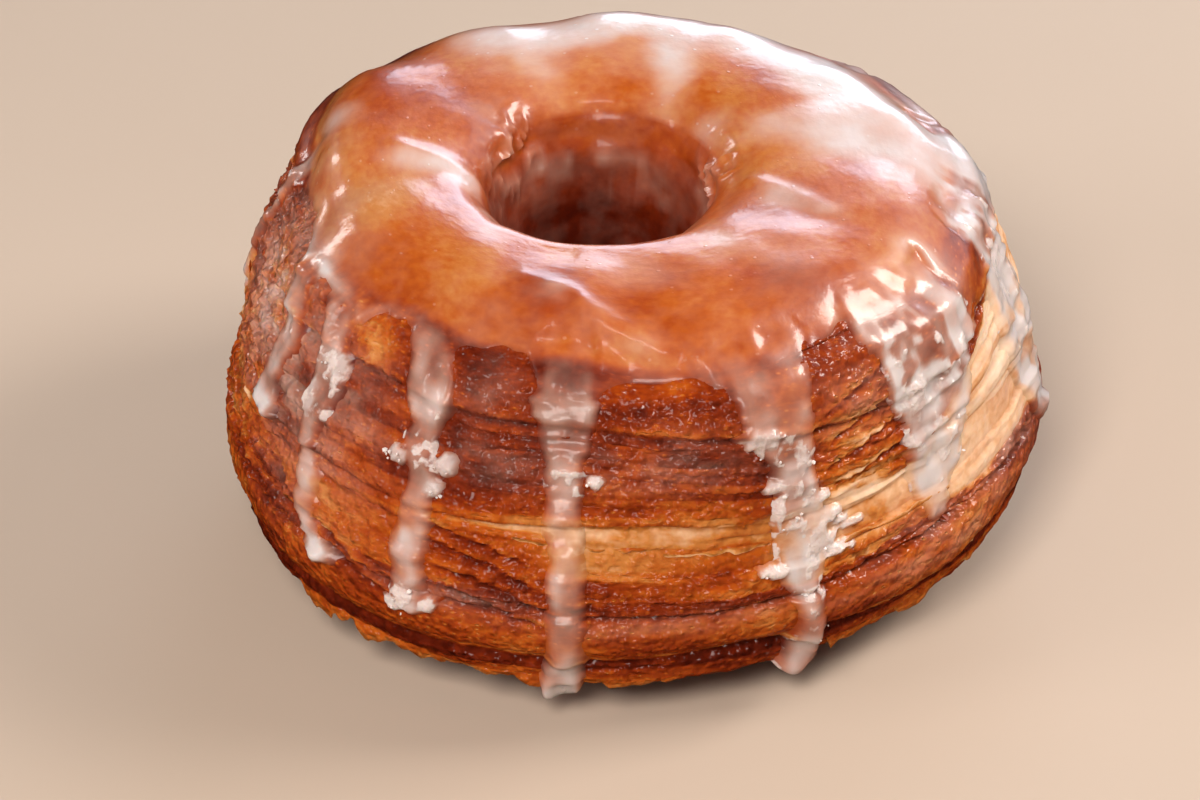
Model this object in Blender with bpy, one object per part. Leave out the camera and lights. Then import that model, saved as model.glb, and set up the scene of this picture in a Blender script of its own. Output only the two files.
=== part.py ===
"""Croissant doughnut: one ring of laminated, fried dough with its thick glaze runs fused on.

Named sizes are in millimetres and degrees, and the model is built in metres with +Z up.
Azimuth 0 is +X and turns towards +Y. The ring stands on the flat part of its base.
"""

import math

import bpy
import numpy as np

MM = 0.001

# Driving sizes of the ring
BELLY_RADIUS = 44.9  # the widest girth, low on the wall
HEIGHT = 47.5
THROAT_RADIUS = 10.9  # the narrowest part of the hole
HOLE_OFFSET = (-2.9, 0.6)  # the hole was cut off centre
BASE_RADII = (19.5, 27.0)  # the flat ring that it was proofed on and rests on
BOX_CENTRE = (0.82, -0.32)  # middle of the uneven ring's outline, moved onto the origin

# The section of the ring, out from the foot of the wall, over the top, down the hole and back
SECTION = [
    (BELLY_RADIUS - 2.2, 6.3),  # foot of the wall
    (BELLY_RADIUS - 0.2, 11.6),
    (BELLY_RADIUS, 18.0),
    (BELLY_RADIUS - 1.2, 24.9),
    (BELLY_RADIUS - 3.2, 31.9),
    (BELLY_RADIUS - 5.6, 38.5),
    (BELLY_RADIUS - 8.6, 43.1),  # shoulder, where the wall ends and the glazed top begins
    (31.3, HEIGHT - 0.9),
    (25.2, HEIGHT),
    (18.8, HEIGHT - 0.6),
    (THROAT_RADIUS + 3.0, HEIGHT - 3.4),  # rim of the hole
    (THROAT_RADIUS + 0.7, HEIGHT - 9.5),
    (THROAT_RADIUS, HEIGHT - 18.0),
    (THROAT_RADIUS, 20.0),
    (THROAT_RADIUS + 0.7, 11.0),
    (THROAT_RADIUS + 2.2, 4.6),
    (THROAT_RADIUS + 4.9, 0.9),
    (BASE_RADII[0], -0.3),  # just under the ground, and cut flat there
    (BASE_RADII[1], -0.3),
    (31.5, 0.6),
    (37.5, 2.7),
]
WALL_POINTS = 6  # how many steps of the section the wall takes

# Slow swells that make the ring uneven: amount, how many round the ring, and the azimuth of one
SHOULDER_SWELLS = [(1.3, 2, -33.0), (0.4, 3, 40.0), (0.5, 9, 128.0)]
BELLY_SWELLS = [(1.6, 2, 12.0), (0.5, 3, 2.0), (0.35, 1, -24.0)]
TOP_TILT = (0.45, 237.0)  # the top is this much higher towards this azimuth
TOP_LUMPS = [(0.35, 5, 20.0), (0.25, 8, 75.0), (0.18, 13, 10.0)]
LAYER_WANDER = [(1.7, 4, 342.0), (0.8, 2, 350.0)]  # how far the layers ride up and down
EDGE_WAVER = 0.35  # each layer's edge also has a waver of its own

# Layers that show on the wall, from the foot up: thickness, and how far each stands out
LAYERS = [
    (2.4, 0.3),  # thin skirt at the foot
    (6.6, 0.6),  # fat lower roll
    (2.7, 0.1),
    (3.0, 0.4),
    (4.5, -1.1),  # pale waist that never met the oil
    (4.0, -0.9),
    (2.8, 0.1),
    (2.6, 0.3),
    (2.6, 0.4),
    (2.8, 0.5),
    (4.2, 0.7),  # browned edge of the top
]
GROOVE_DEPTH = 0.8
LIP = (313.0, 26.0, 0.9)  # the lower roll bulges here: azimuth, half width, amount

# Thick runs of glaze: azimuth at the shoulder and at the end, length down the wall, width
GLAZE_RUNS = [
    (204.0, 205.5, 14.5, 2.6),
    (214.5, 222.5, 27.0, 2.9),
    (234.0, 238.5, 28.5, 3.5),
    (258.5, 259.5, 40.5, 4.3),
    (289.0, 294.0, 38.0, 5.2),
    (313.0, 319.0, 22.0, 6.6),
    (321.0, 323.5, 36.5, 3.4),
    (352.0, 347.0, 23.0, 5.4),
    (18.0, 21.0, 16.0, 3.0),
    (42.0, 45.0, 31.0, 3.6),
    (68.0, 66.0, 21.0, 3.0),
    (93.0, 96.0, 36.0, 4.2),
    (118.0, 116.0, 16.0, 2.8),
    (142.0, 139.0, 27.0, 3.4),
    (170.0, 173.0, 19.0, 3.0),
]
RUN_PROUD = 0.9  # how far a run stands off the dough
RUN_START = 3.0  # how far above the shoulder a run leaves the top
RUN_POINTS = 8

# Mesh fineness
COLUMNS = 72
LAYER_ROWS = (0.0, 0.25, 0.72)  # shares of a layer's thickness: its groove and its rounded edge
TOP_ROWS = 8
HOLE_ROWS = 7
BASE_ROWS = 6

DOUGH_COLOUR = (0.42, 0.16, 0.045, 1.0)
DOUGH_ROUGHNESS = 0.45


def blend(low, high, value):
    """0 below low, 1 above high and smooth between them."""
    share = np.clip((value - low) / (high - low), 0.0, 1.0)
    return share * share * (3.0 - 2.0 * share)


def swell(azimuth, waves):
    """The sum of slow waves round the ring, in millimetres."""
    return sum(size * np.cos(count * np.radians(azimuth - crest)) for size, count, crest in waves)


def near(azimuth, centre, half_width):
    """1 at an azimuth, falling to 0 a half width away from it."""
    away = np.abs((azimuth - centre + 180.0) % 360.0 - 180.0)
    return 1.0 - blend(0.0, half_width, away)


def smooth_outline(points, steps=24):
    """A closed Catmull-Rom curve through the points, as a fine polyline."""
    points = np.array(points, float)
    before, after, beyond = (np.roll(points, shift, 0) for shift in (1, -1, -2))
    t = np.linspace(0.0, 1.0, steps, endpoint=False)[None, :, None]
    a, b, c, d = (p[:, None, :] for p in (before, points, after, beyond))
    curve = 0.5 * (
        2 * b + (c - a) * t + (2 * a - 5 * b + 4 * c - d) * t**2 + (3 * b - a - 3 * c + d) * t**3
    )
    return curve.reshape(-1, 2)


class Section:
    """The ring's section, read by distance along it from the foot of the wall."""

    def __init__(self):
        steps = 24
        self.line = smooth_outline(SECTION, steps)
        gaps = np.linalg.norm(np.roll(self.line, -1, 0) - self.line, axis=1)
        self.run = np.concatenate([[0.0], np.cumsum(gaps)])
        self.total = self.run[-1]
        self.wall = self.run[WALL_POINTS * steps]
        self.top = self.run[10 * steps]
        self.hole = self.run[16 * steps]

    def at(self, distance):
        """Radius and height at a distance, which may be below the foot."""
        closed = np.vstack([self.line, self.line[:1]])
        where = np.mod(distance, self.total)
        return tuple(np.interp(where, self.run, closed[:, axis]) for axis in (0, 1))


SHAPE = Section()


def layer_edges(azimuth):
    """Distances of the layers' edges up the wall, one row for each azimuth."""
    edges = np.concatenate([[0.0], np.cumsum([thick for thick, _ in LAYERS])])
    share = edges / edges[-1]
    azimuth = np.asarray(azimuth, float)[..., None]
    number = np.arange(len(edges))
    wander = swell(azimuth, LAYER_WANDER)
    waver = EDGE_WAVER * np.cos((2 + number % 3) * np.radians(azimuth) + 1.7 * number)
    return share * SHAPE.wall + (wander + waver) * 4.0 * share * (1.0 - share)


def stand_out(azimuth, distance):
    """How far the layers push the wall out or in, in millimetres."""
    azimuth, distance = np.broadcast_arrays(azimuth, distance)
    edges = layer_edges(azimuth)
    out = np.zeros(azimuth.shape)
    for layer, (_, amount) in enumerate(LAYERS):
        low, high = edges[..., layer], edges[..., layer + 1]
        share = (distance - low) / (high - low)
        inside = (share >= 0.0) & (share < 1.0)
        round_edge = np.sqrt(np.clip(1.0 - (2.0 * share - 1.0) ** 2, 0.0, 1.0))
        if layer == 1:
            amount = amount + LIP[2] * near(azimuth, LIP[0], LIP[1])
        out = np.where(inside, amount + GROOVE_DEPTH * (round_edge - 1.0), out)
    return out


def place(azimuth, distance, lift=0.0):
    """Points on the ring in millimetres, lift standing them off the dough."""
    azimuth, distance = np.broadcast_arrays(azimuth, distance)
    radius, height = SHAPE.at(distance)
    ahead = SHAPE.at(distance + 0.2)
    behind = SHAPE.at(distance - 0.2)
    along = np.stack([ahead[0] - behind[0], ahead[1] - behind[1]])
    along = along / np.linalg.norm(along, axis=0)
    out = lift + stand_out(azimuth, np.where(distance > SHAPE.wall, -1.0, distance))
    radius = radius + along[1] * out
    height = height - along[0] * out
    outer = blend(16.0, 34.0, radius)
    up = blend(25.0, 42.0, height)
    radius = radius + outer * (up * swell(azimuth, SHOULDER_SWELLS) + (1.0 - up) * swell(azimuth, BELLY_SWELLS))
    tilt = TOP_TILT[0] * np.cos(np.radians(azimuth - TOP_TILT[1])) * radius / BELLY_RADIUS
    height = height + up * (tilt + outer * swell(azimuth, TOP_LUMPS))
    inner = 1.0 - blend(12.0, 34.0, radius)
    angle = np.radians(azimuth)
    x = radius * np.cos(angle) + HOLE_OFFSET[0] * inner - BOX_CENTRE[0]
    y = radius * np.sin(angle) + HOLE_OFFSET[1] * inner - BOX_CENTRE[1]
    return np.stack([x, y, np.maximum(height, 0.0)], axis=-1)


def row_distances(azimuth):
    """Distances of the mesh rows along the section at each azimuth, the wall's following its layers."""
    edges = layer_edges(azimuth)
    rows = []
    for layer in range(len(LAYERS)):
        low, high = edges[:, layer], edges[:, layer + 1]
        for share in LAYER_ROWS:
            rows.append(low + (high - low) * share)
    stretches = [
        (SHAPE.wall, SHAPE.top, TOP_ROWS),
        (SHAPE.top, SHAPE.hole, HOLE_ROWS),
        (SHAPE.hole, SHAPE.total, BASE_ROWS),
    ]
    for start, end, count in stretches:
        for row in range(count):
            rows.append(np.full(len(azimuth), start + (end - start) * row / count))
    return np.stack(rows, axis=1)


def finish(name, colour, roughness):
    """A plain Principled material."""
    material = bpy.data.materials.new(name)
    material.use_nodes = True
    shader = material.node_tree.nodes["Principled BSDF"]
    shader.inputs["Base Color"].default_value = colour
    shader.inputs["Roughness"].default_value = roughness
    return material


def make_ring(home):
    """The ring of dough: a torus whose points are set on the section, layers and swells."""
    azimuth = np.arange(COLUMNS) * 360.0 / COLUMNS
    distance = row_distances(azimuth)
    bpy.ops.mesh.primitive_torus_add(
        major_segments=COLUMNS, minor_segments=distance.shape[1], major_radius=0.03, minor_radius=0.015
    )
    ring = bpy.context.object
    ring.name = ring.data.name = "dough_ring"
    points = place(azimuth[:, None], distance) * MM
    ring.data.vertices.foreach_set("co", points.reshape(-1))
    ring.data.update()
    ring.data.materials.append(finish("fried laminated dough", DOUGH_COLOUR, DOUGH_ROUGHNESS))
    for collection in ring.users_collection:
        collection.objects.unlink(ring)
    home.objects.link(ring)
    return ring


def make_run(number, start, end, length, width):
    """One thick run of glaze: a tube along the wall, mostly sunk in it, with a bead at its end."""
    share = np.linspace(0.0, 1.0, RUN_POINTS)
    weave = 0.8 * np.sin(2.0 * math.pi * share + number)
    azimuth = start + (end - start) * share + weave * share * (1.0 - share) * 4.0
    distance = SHAPE.wall + RUN_START - (length + RUN_START) * share
    thickness = 0.82 + 0.16 * np.cos(5.0 * share + number) + 0.25 * blend(0.75, 0.95, share)
    radius = 0.5 * width * thickness
    proud = RUN_PROUD * blend(0.0, 0.3, share + 0.1)
    points = place(azimuth, distance, proud - radius) * MM
    curve = bpy.data.curves.new(f"glaze_run_{number}", "CURVE")
    curve.dimensions = "3D"
    curve.bevel_depth = 0.5 * width * MM
    curve.bevel_resolution = 2
    curve.resolution_u = 1
    curve.use_fill_caps = True
    spline = curve.splines.new("POLY")
    spline.points.add(RUN_POINTS - 1)
    for index, (point, size) in enumerate(zip(points, thickness)):
        ends = 0.55 if index in (0, RUN_POINTS - 1) else 1.0
        spline.points[index].co = (*point, 1.0)
        spline.points[index].radius = size * ends
    return bpy.data.objects.new(curve.name, curve)


def as_mesh(thing, home):
    """The curve's object made a closed mesh object in a collection."""
    home.objects.link(thing)
    bpy.context.view_layer.update()
    evaluated = thing.evaluated_get(bpy.context.evaluated_depsgraph_get())
    mesh = bpy.data.meshes.new_from_object(evaluated)
    weld = bpy.data.objects.new(thing.name + "_solid", mesh)
    home.objects.link(weld)
    modifier = weld.modifiers.new("weld caps", "WELD")
    modifier.merge_threshold = 0.00001
    bpy.data.objects.remove(thing)
    return weld


def fuse(ring, group):
    """Joins the runs to the ring by one Boolean union, then removes them."""
    union = ring.modifiers.new("fuse runs", "BOOLEAN")
    union.operation = "UNION"
    union.solver = "MANIFOLD"
    union.operand_type = "COLLECTION"
    union.collection = group
    bpy.ops.object.select_all(action="DESELECT")
    bpy.context.view_layer.objects.active = ring
    ring.select_set(True)
    bpy.ops.object.modifier_apply(modifier=union.name)
    for thing in list(group.objects):
        bpy.data.objects.remove(thing)
    bpy.data.collections.remove(group)


def build():
    """Clears the scene and makes the doughnut."""
    for thing in list(bpy.data.objects):
        bpy.data.objects.remove(thing)
    home = bpy.data.collections.new("croissant doughnut")
    runs = bpy.data.collections.new("glaze runs")
    for collection in (home, runs):
        bpy.context.scene.collection.children.link(collection)
    ring = make_ring(home)
    for number, run in enumerate(GLAZE_RUNS):
        as_mesh(make_run(number, *run), runs)
    fuse(ring, runs)
    ring.data.shade_smooth()


build()
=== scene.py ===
"""Croissant doughnut: the finished looks of one glazed ring of laminated, fried dough.

Laid out as an add-on and run as a script. Named sizes are in millimetres and degrees, and
meshes are made in metres. Azimuth 0 is +X and turns towards +Y; the viewer stands at -Y.
"""

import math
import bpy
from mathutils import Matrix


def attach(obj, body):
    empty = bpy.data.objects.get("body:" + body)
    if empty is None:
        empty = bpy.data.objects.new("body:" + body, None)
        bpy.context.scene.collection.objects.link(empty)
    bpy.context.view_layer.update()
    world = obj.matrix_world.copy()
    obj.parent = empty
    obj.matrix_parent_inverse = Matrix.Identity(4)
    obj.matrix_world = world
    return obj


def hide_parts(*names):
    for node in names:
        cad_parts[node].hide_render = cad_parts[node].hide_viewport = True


bl_info = {
    "name": "Croissant Doughnut",
    "version": (1, 0, 0),
    "blender": (4, 5, 0),
    "location": "View3D > Sidebar > Doughnut",
    "description": "Builds a glazed ring doughnut of laminated dough around its solid",
    "category": "Add Mesh",
}

from functools import partial
from itertools import combinations

import bpy
import numpy as np
from mathutils import Matrix, Vector

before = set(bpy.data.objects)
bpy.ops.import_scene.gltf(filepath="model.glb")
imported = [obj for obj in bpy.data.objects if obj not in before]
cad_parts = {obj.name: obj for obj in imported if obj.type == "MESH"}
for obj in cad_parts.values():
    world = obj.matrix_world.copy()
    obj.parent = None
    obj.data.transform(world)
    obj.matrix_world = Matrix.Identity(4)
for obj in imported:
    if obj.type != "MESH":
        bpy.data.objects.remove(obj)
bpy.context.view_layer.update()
CAD_NODE = "dough_ring"

MM = 0.001

# ---- form of the ring, as in the solid

BELLY_RADIUS = 44.9
HEIGHT = 47.5
THROAT_RADIUS = 10.9
HOLE_OFFSET = (-2.9, 0.6)
BASE_RADII = (19.5, 27.0)
BOX_CENTRE = (0.82, -0.32)
TOP_SINK = 0.65  # the dough of the top lies this far inside the solid, to leave room for its glaze

# Out from the foot of the wall, over the top, down the hole and back under the base
SECTION = [
    (BELLY_RADIUS - 2.2, 6.3),  # foot of the wall
    (BELLY_RADIUS - 0.2, 11.6),
    (BELLY_RADIUS, 18.0),
    (BELLY_RADIUS - 1.2, 24.9),
    (BELLY_RADIUS - 3.2, 31.9),
    (BELLY_RADIUS - 5.6, 38.5),
    (BELLY_RADIUS - 8.6, 43.1),  # shoulder, where the wall ends and the glazed top begins
    (31.3, HEIGHT - 0.9),
    (25.2, HEIGHT),
    (18.8, HEIGHT - 0.6),
    (15.6, HEIGHT - 1.8),
    (THROAT_RADIUS + 2.7, HEIGHT - 3.7),  # rim of the hole
    (THROAT_RADIUS + 1.9, HEIGHT - 6.0),
    (THROAT_RADIUS + 0.9, HEIGHT - 11.5),
    (THROAT_RADIUS, HEIGHT - 19.0),
    (THROAT_RADIUS, 20.0),
    (THROAT_RADIUS + 0.7, 11.0),
    (THROAT_RADIUS + 2.2, 4.6),
    (THROAT_RADIUS + 4.9, 0.9),
    (BASE_RADII[0], -0.3),
    (BASE_RADII[1], -0.3),
    (31.5, 0.6),
    (37.5, 2.7),
]
SECTION_STEPS = 24
WALL_POINTS = 6
CREST_POINT = 8
RIM_POINTS = 11
HOLE_POINTS = 18

# Slow swells: amount, how many round the ring, and the azimuth of one
SHOULDER_SWELLS = [(1.3, 2, -33.0), (0.4, 3, 40.0), (0.5, 9, 128.0)]
BELLY_SWELLS = [(1.6, 2, 12.0), (0.5, 3, 2.0), (0.35, 1, -24.0)]
TOP_TILT = (0.45, 237.0)
TOP_LUMPS = [(0.35, 5, 20.0), (0.25, 8, 75.0), (0.18, 13, 10.0)]
LAYER_WANDER = [(0.5, 4, 342.0), (0.5, 2, 350.0), (0.3, 7, 60.0)]
LAYER_SAG = (313.0, 36.0, 3.2)  # the upper layers dip here: azimuth, half width, amount
EDGE_WAVER = 0.35
LIP = (313.0, 26.0, 0.9)  # the lower roll bulges here: azimuth, half width, amount
ROLL = 1  # the lower roll's number in LAYERS

# Layers on the wall, from the foot up: thickness, how far it stands out, thin leaves that show in
# it, how browned it is (0 crumb, 1 burnt), how strong the groove under it is and how far it rounds
LAYERS = [
    (4.4, 0.1, 3, 0.76, 0.0, 0.8),  # thin skirt at the foot
    (6.6, 0.5, 1, 0.64, 1.6, 1.6),  # fat lower roll
    (2.2, -0.1, 3, 0.72, 0.7, 0.4),
    (2.8, -0.2, 2, 0.54, 0.3, 0.8),
    (3.5, -0.7, 1, 0.49, 0.2, 1.2),  # waist
    (2.0, -0.5, 2, 0.48, 0.3, 0.6),
    (3.5, 0.0, 3, 0.60, 0.4, 0.6),
    (3.5, 0.2, 3, 0.74, 0.3, 0.5),
    (3.8, 0.2, 4, 0.80, 0.3, 0.5),
    (6.7, 0.7, 1, 0.79, 1.3, 0.7),  # browned edge of the top
]

# Where pale crumb shows that never met the oil: azimuth, from and to how far up the wall, paleness
CRUMB = [
    (0, 11.5, 34, 1.5), (15, 12.5, 29, 1.2), (35, 14, 23, 1), (90, 15, 21.5, 0.85),
    (130, 15, 21.5, 0.8), (175, 15, 21.5, 0.3), (205, 15, 22, 0.05), (232, 15.5, 22, 0.25),
    (252, 18, 23, 0.4), (264, 16, 21.5, 0.9), (290, 15, 21.5, 1), (300, 14, 20.6, 1.1),
    (314, 15.2, 20.6, 1.15), (321, 13.6, 24, 1.35), (330, 12.8, 28, 1.45), (345, 14, 32, 1.5),
]

# Glaze runs from the shoulder down, by stations:
# height above the floor, azimuth, width, milkiness, thickness, share covered by dried sugar
GLAZE_RUNS = [
    [
        (41.5, 203, 5.5, 0.3, 0.3, 0), (39, 204, 5.2, 0.45, 0.4, 0),
        (37.2, 205.5, 5.4, 0.78, 0.65, 0.4), (34.8, 206.2, 5.2, 0.7, 0.55, 0.2),
        (32.7, 205.2, 4.6, 0.6, 0.5, 0), (30.5, 204.5, 3.6, 0.66, 0.6, 0),
        (28.9, 204.7, 5.2, 0.9, 0.95, 0), (27.7, 205.6, 6.6, 0.98, 1.3, 0.2),
        (26.6, 206.8, 5.8, 0.98, 1.2, 0.2),
    ],
    [
        (40.9, 215.2, 6, 0.3, 0.4, 0), (38.3, 216, 4.9, 0.55, 0.5, 0.1),
        (36.7, 217.2, 5.1, 0.6, 0.6, 0.7), (34.3, 217.5, 5.4, 0.55, 0.55, 0.7),
        (32.2, 217.2, 4.9, 0.55, 0.55, 0.7), (30.3, 217, 3.2, 0.55, 0.55, 0.5),
        (27.4, 216.9, 3.4, 0.55, 0.5, 0), (25.2, 218.3, 4.4, 0.6, 0.55, 0),
        (22.8, 218, 3.7, 0.55, 0.5, 0), (20.3, 218.2, 4, 0.5, 0.45, 0),
        (18.6, 220.2, 4.4, 0.6, 0.55, 0), (17.4, 222.6, 6.2, 0.88, 1, 0.2),
        (15.9, 223.5, 6.2, 0.92, 1.25, 0.2),
    ],
    [
        (43.1, 232.4, 6.8, 0.24, 0.32, 0), (41.6, 235, 7.8, 0.38, 0.38, 0),
        (39.2, 237, 8, 0.52, 0.42, 0), (37.2, 237.2, 7.2, 0.66, 0.6, 0.1),
        (36, 237.4, 6.2, 0.62, 0.75, 0.6), (35, 238.2, 4.4, 0.46, 0.45, 0.2),
        (33.1, 237.2, 4.4, 0.45, 0.5, 0.5), (31.5, 237.8, 4, 0.45, 0.5, 0.5),
        (30.3, 238.8, 4.3, 0.45, 0.45, 0.1), (28.1, 238.2, 3.8, 0.66, 0.55, 0.1),
        (25.5, 237.8, 4, 0.72, 0.55, 0.1), (22.5, 237.4, 4.6, 0.74, 0.58, 0.3),
        (19.6, 237.6, 4.2, 0.68, 0.55, 0.1), (16.6, 238.2, 4.2, 0.74, 0.8, 0.7),
        (14.6, 239.1, 3.8, 0.8, 1.3, 0.8),
    ],
    [
        (44.5, 259, 9, 0.1, 0.3, 0), (42.6, 259.8, 6.6, 0.24, 0.32, 0), (40.9, 260, 6.6, 0.34, 0.4, 0),
        (40.1, 259.6, 8.8, 0.54, 1.05, 0), (38.6, 259.6, 8.4, 0.58, 1.15, 0),
        (37.8, 260.1, 6.6, 0.34, 0.36, 0), (36.5, 260, 6.2, 0.24, 0.28, 0),
        (34.8, 260.2, 5.3, 0.34, 0.35, 0), (33.1, 260.1, 4.9, 0.45, 0.5, 0.6),
        (32, 260.5, 4.6, 0.45, 0.55, 0.6), (30.3, 260.3, 4, 0.54, 0.6, 0.3),
        (27.7, 260.2, 4.8, 0.44, 0.6, 0.2), (25, 260.4, 4.2, 0.4, 0.55, 0),
        (22.1, 260.5, 4.4, 0.48, 0.55, 0), (19.1, 260.5, 4.2, 0.42, 0.45, 0),
        (15.6, 260.7, 4.2, 0.34, 0.38, 0), (12.9, 260.7, 4.3, 0.36, 0.4, 0),
        (9.4, 260, 4.6, 0.64, 0.75, 0), (6.8, 259.6, 5, 0.78, 1.4, 0.2),
        (5.2, 259.4, 5.4, 0.88, 2.3, 0.3), (4, 259.2, 5, 0.88, 2.2, 0.3),
    ],
    [
        (44.6, 292, 15, 0.1, 0.3, 0), (43.2, 292, 12.5, 0.16, 0.32, 0),
        (41.2, 291.8, 10.6, 0.3, 0.34, 0), (39.2, 291.9, 9.6, 0.36, 0.38, 0.1),
        (37.2, 292, 9, 0.44, 0.45, 0.3), (35.3, 292.5, 7.6, 0.58, 0.6, 0.5),
        (32.4, 294.2, 5.8, 0.58, 0.65, 0.7), (29.3, 294.5, 6, 0.62, 0.75, 0.7),
        (26.4, 294.8, 6.6, 0.72, 0.75, 0.65), (23.3, 295.4, 7, 0.8, 0.8, 0.7),
        (20.3, 295, 6.2, 0.8, 0.8, 0.7), (17.1, 295.1, 4.1, 0.62, 0.75, 0.7),
        (13.4, 295.9, 3.4, 0.58, 0.6, 0.3), (10.2, 295.8, 4.2, 0.9, 1.1, 0.6),
        (7.6, 295.4, 4.8, 0.95, 1.4, 0.5), (6.2, 294.7, 5.4, 0.97, 2.2, 0.5),
        (5.2, 294.2, 4.8, 0.97, 2.1, 0.5),
    ],
    [
        (45, 321, 20, 0.2, 0.35, 0), (43.6, 320.2, 18, 0.38, 0.38, 0), (41.4, 320, 18, 0.6, 0.42, 0.3),
        (38.3, 321.8, 17.5, 0.7, 0.45, 0.5), (35.3, 321.6, 15.5, 0.74, 0.5, 0.5),
        (31.7, 321.5, 13, 0.78, 0.48, 0.5), (28.6, 321, 11, 0.84, 0.48, 0.6),
        (26.2, 320.5, 10, 0.88, 0.46, 0.6), (23.5, 320, 8.5, 0.84, 0.45, 0.5),
        (21, 319, 4.6, 0.55, 0.4, 0.1), (18.6, 319, 3.9, 0.5, 0.42, 0),
    ],
    [
        (43.5, 353, 16, 0.55, 0.4, 0), (41.2, 352.5, 14, 0.7, 0.5, 0.4),
        (38.5, 352, 13, 0.76, 0.6, 0.5), (36, 351, 13, 0.78, 0.65, 0.5), (33, 350, 13, 0.82, 0.6, 0.4),
        (30, 349.5, 12.5, 0.84, 0.6, 0.4), (27, 349.5, 11.5, 0.9, 0.6, 0.3),
        (23, 350.5, 9, 0.92, 0.6, 0.2), (19, 351.5, 7, 0.88, 0.6, 0.1),
        (15.5, 352.5, 6, 0.9, 0.85, 0.2),
    ],
]

# Lumps and flakes of dried sugar: azimuth, height, half width, half height, thickness, cover
SUGAR_LUMPS = [
    (242.5, 32.2, 1.5, 1.3, 1, 0.6), (240.9, 29.4, 1.1, 0.9, 0.6, 0.7), (234.4, 31.4, 1.4, 1, 0.6, 0.8),
    (219.2, 36.3, 1.5, 1.2, 0.7, 0.9), (215.4, 32.2, 1.2, 2, 0.7, 0.9), (264.6, 32.4, 1, 1, 0.8, 0.9),
    (299.6, 24.9, 2.1, 1, 0.8, 1), (304.2, 22.7, 2.3, 0.7, 0.6, 0.9), (300.8, 20.6, 1.8, 0.9, 0.6, 0.8),
    (302, 23.6, 1.6, 0.7, 0.7, 1), (298.8, 22, 1.8, 0.9, 0.8, 1), (298.6, 27.4, 1.2, 0.8, 0.7, 1),
    (290.6, 20, 1.7, 1, 0.8, 1), (291, 30.2, 1.2, 1, 0.7, 0.8), (289, 36.2, 2.2, 1.1, 0.9, 0.5),
    (316.6, 34.2, 1.3, 1.6, 0.6, 0.7), (236.6, 15.2, 1.4, 0.9, 0.8, 1), (241.4, 15.9, 1, 0.8, 0.8, 1),
]

# The unseen runs round the back: azimuth at the shoulder and at the end, length down the wall, width
BACK_RUNS = [
    (18, 21, 16, 3), (42, 45, 31, 3.6), (68, 66, 21, 3), (93, 96, 36, 4.2), (118, 116, 16, 2.8),
    (142, 139, 27, 3.4), (170, 173, 19, 3),
]


def blend(low, high, value):
    """0 below low, 1 above high and smooth between them."""
    share = np.clip((value - low) / (high - low), 0.0, 1.0)
    return share * share * (3.0 - 2.0 * share)


def mixed(first, second, share):
    """The first where the share is 0, the second where it is 1, and between them elsewhere."""
    return first + (second - first) * share


def swell(azimuth, waves):
    """The sum of slow waves round the ring, in millimetres."""
    return sum(size * np.cos(count * np.radians(azimuth - crest)) for size, count, crest in waves)


def apart(azimuth, centre):
    """Degrees from an azimuth to a centre, from -180 to 180."""
    return (azimuth - centre + 180.0) % 360.0 - 180.0


def near(azimuth, centre, half_width):
    """1 at an azimuth, falling to 0 a half width away from it."""
    return 1.0 - blend(0.0, half_width, np.abs(apart(azimuth, centre)))


def smooth_outline(points, steps):
    """A closed Catmull-Rom curve through the points, as a fine polyline."""
    points = np.array(points, float)
    before, after, beyond = (np.roll(points, shift, 0) for shift in (1, -1, -2))
    t = np.linspace(0.0, 1.0, steps, endpoint=False)[None, :, None]
    a, b, c, d = (p[:, None, :] for p in (before, points, after, beyond))
    curve = 0.5 * (
        2 * b + (c - a) * t + (2 * a - 5 * b + 4 * c - d) * t**2 + (3 * b - a - 3 * c + d) * t**3
    )
    return curve.reshape(-1, 2)


class Section:
    """The ring's section, read by distance along it from the foot of the wall."""

    def __init__(self):
        self.line = smooth_outline(SECTION, SECTION_STEPS)
        gaps = np.linalg.norm(np.roll(self.line, -1, 0) - self.line, axis=1)
        self.run = np.concatenate([[0.0], np.cumsum(gaps)])
        self.total = self.run[-1]
        self.wall = self.run[WALL_POINTS * SECTION_STEPS]
        self.rim = self.run[RIM_POINTS * SECTION_STEPS]
        self.hole = self.run[HOLE_POINTS * SECTION_STEPS]

    def at(self, distance):
        """Radius and height at a distance, which may be below the foot."""
        closed = np.vstack([self.line, self.line[:1]])
        where = np.mod(distance, self.total)
        return tuple(np.interp(where, self.run, closed[:, axis]) for axis in (0, 1))

    def rise(self, height):
        """The distance at a height on the way up the wall and over the shoulder, or below the foot."""
        points = CREST_POINT * SECTION_STEPS
        below = np.minimum(np.asarray(height) - self.line[0, 1], 0.0)
        return below + np.interp(height, self.line[:points, 1], self.run[:points])


SHAPE = Section()


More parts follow.
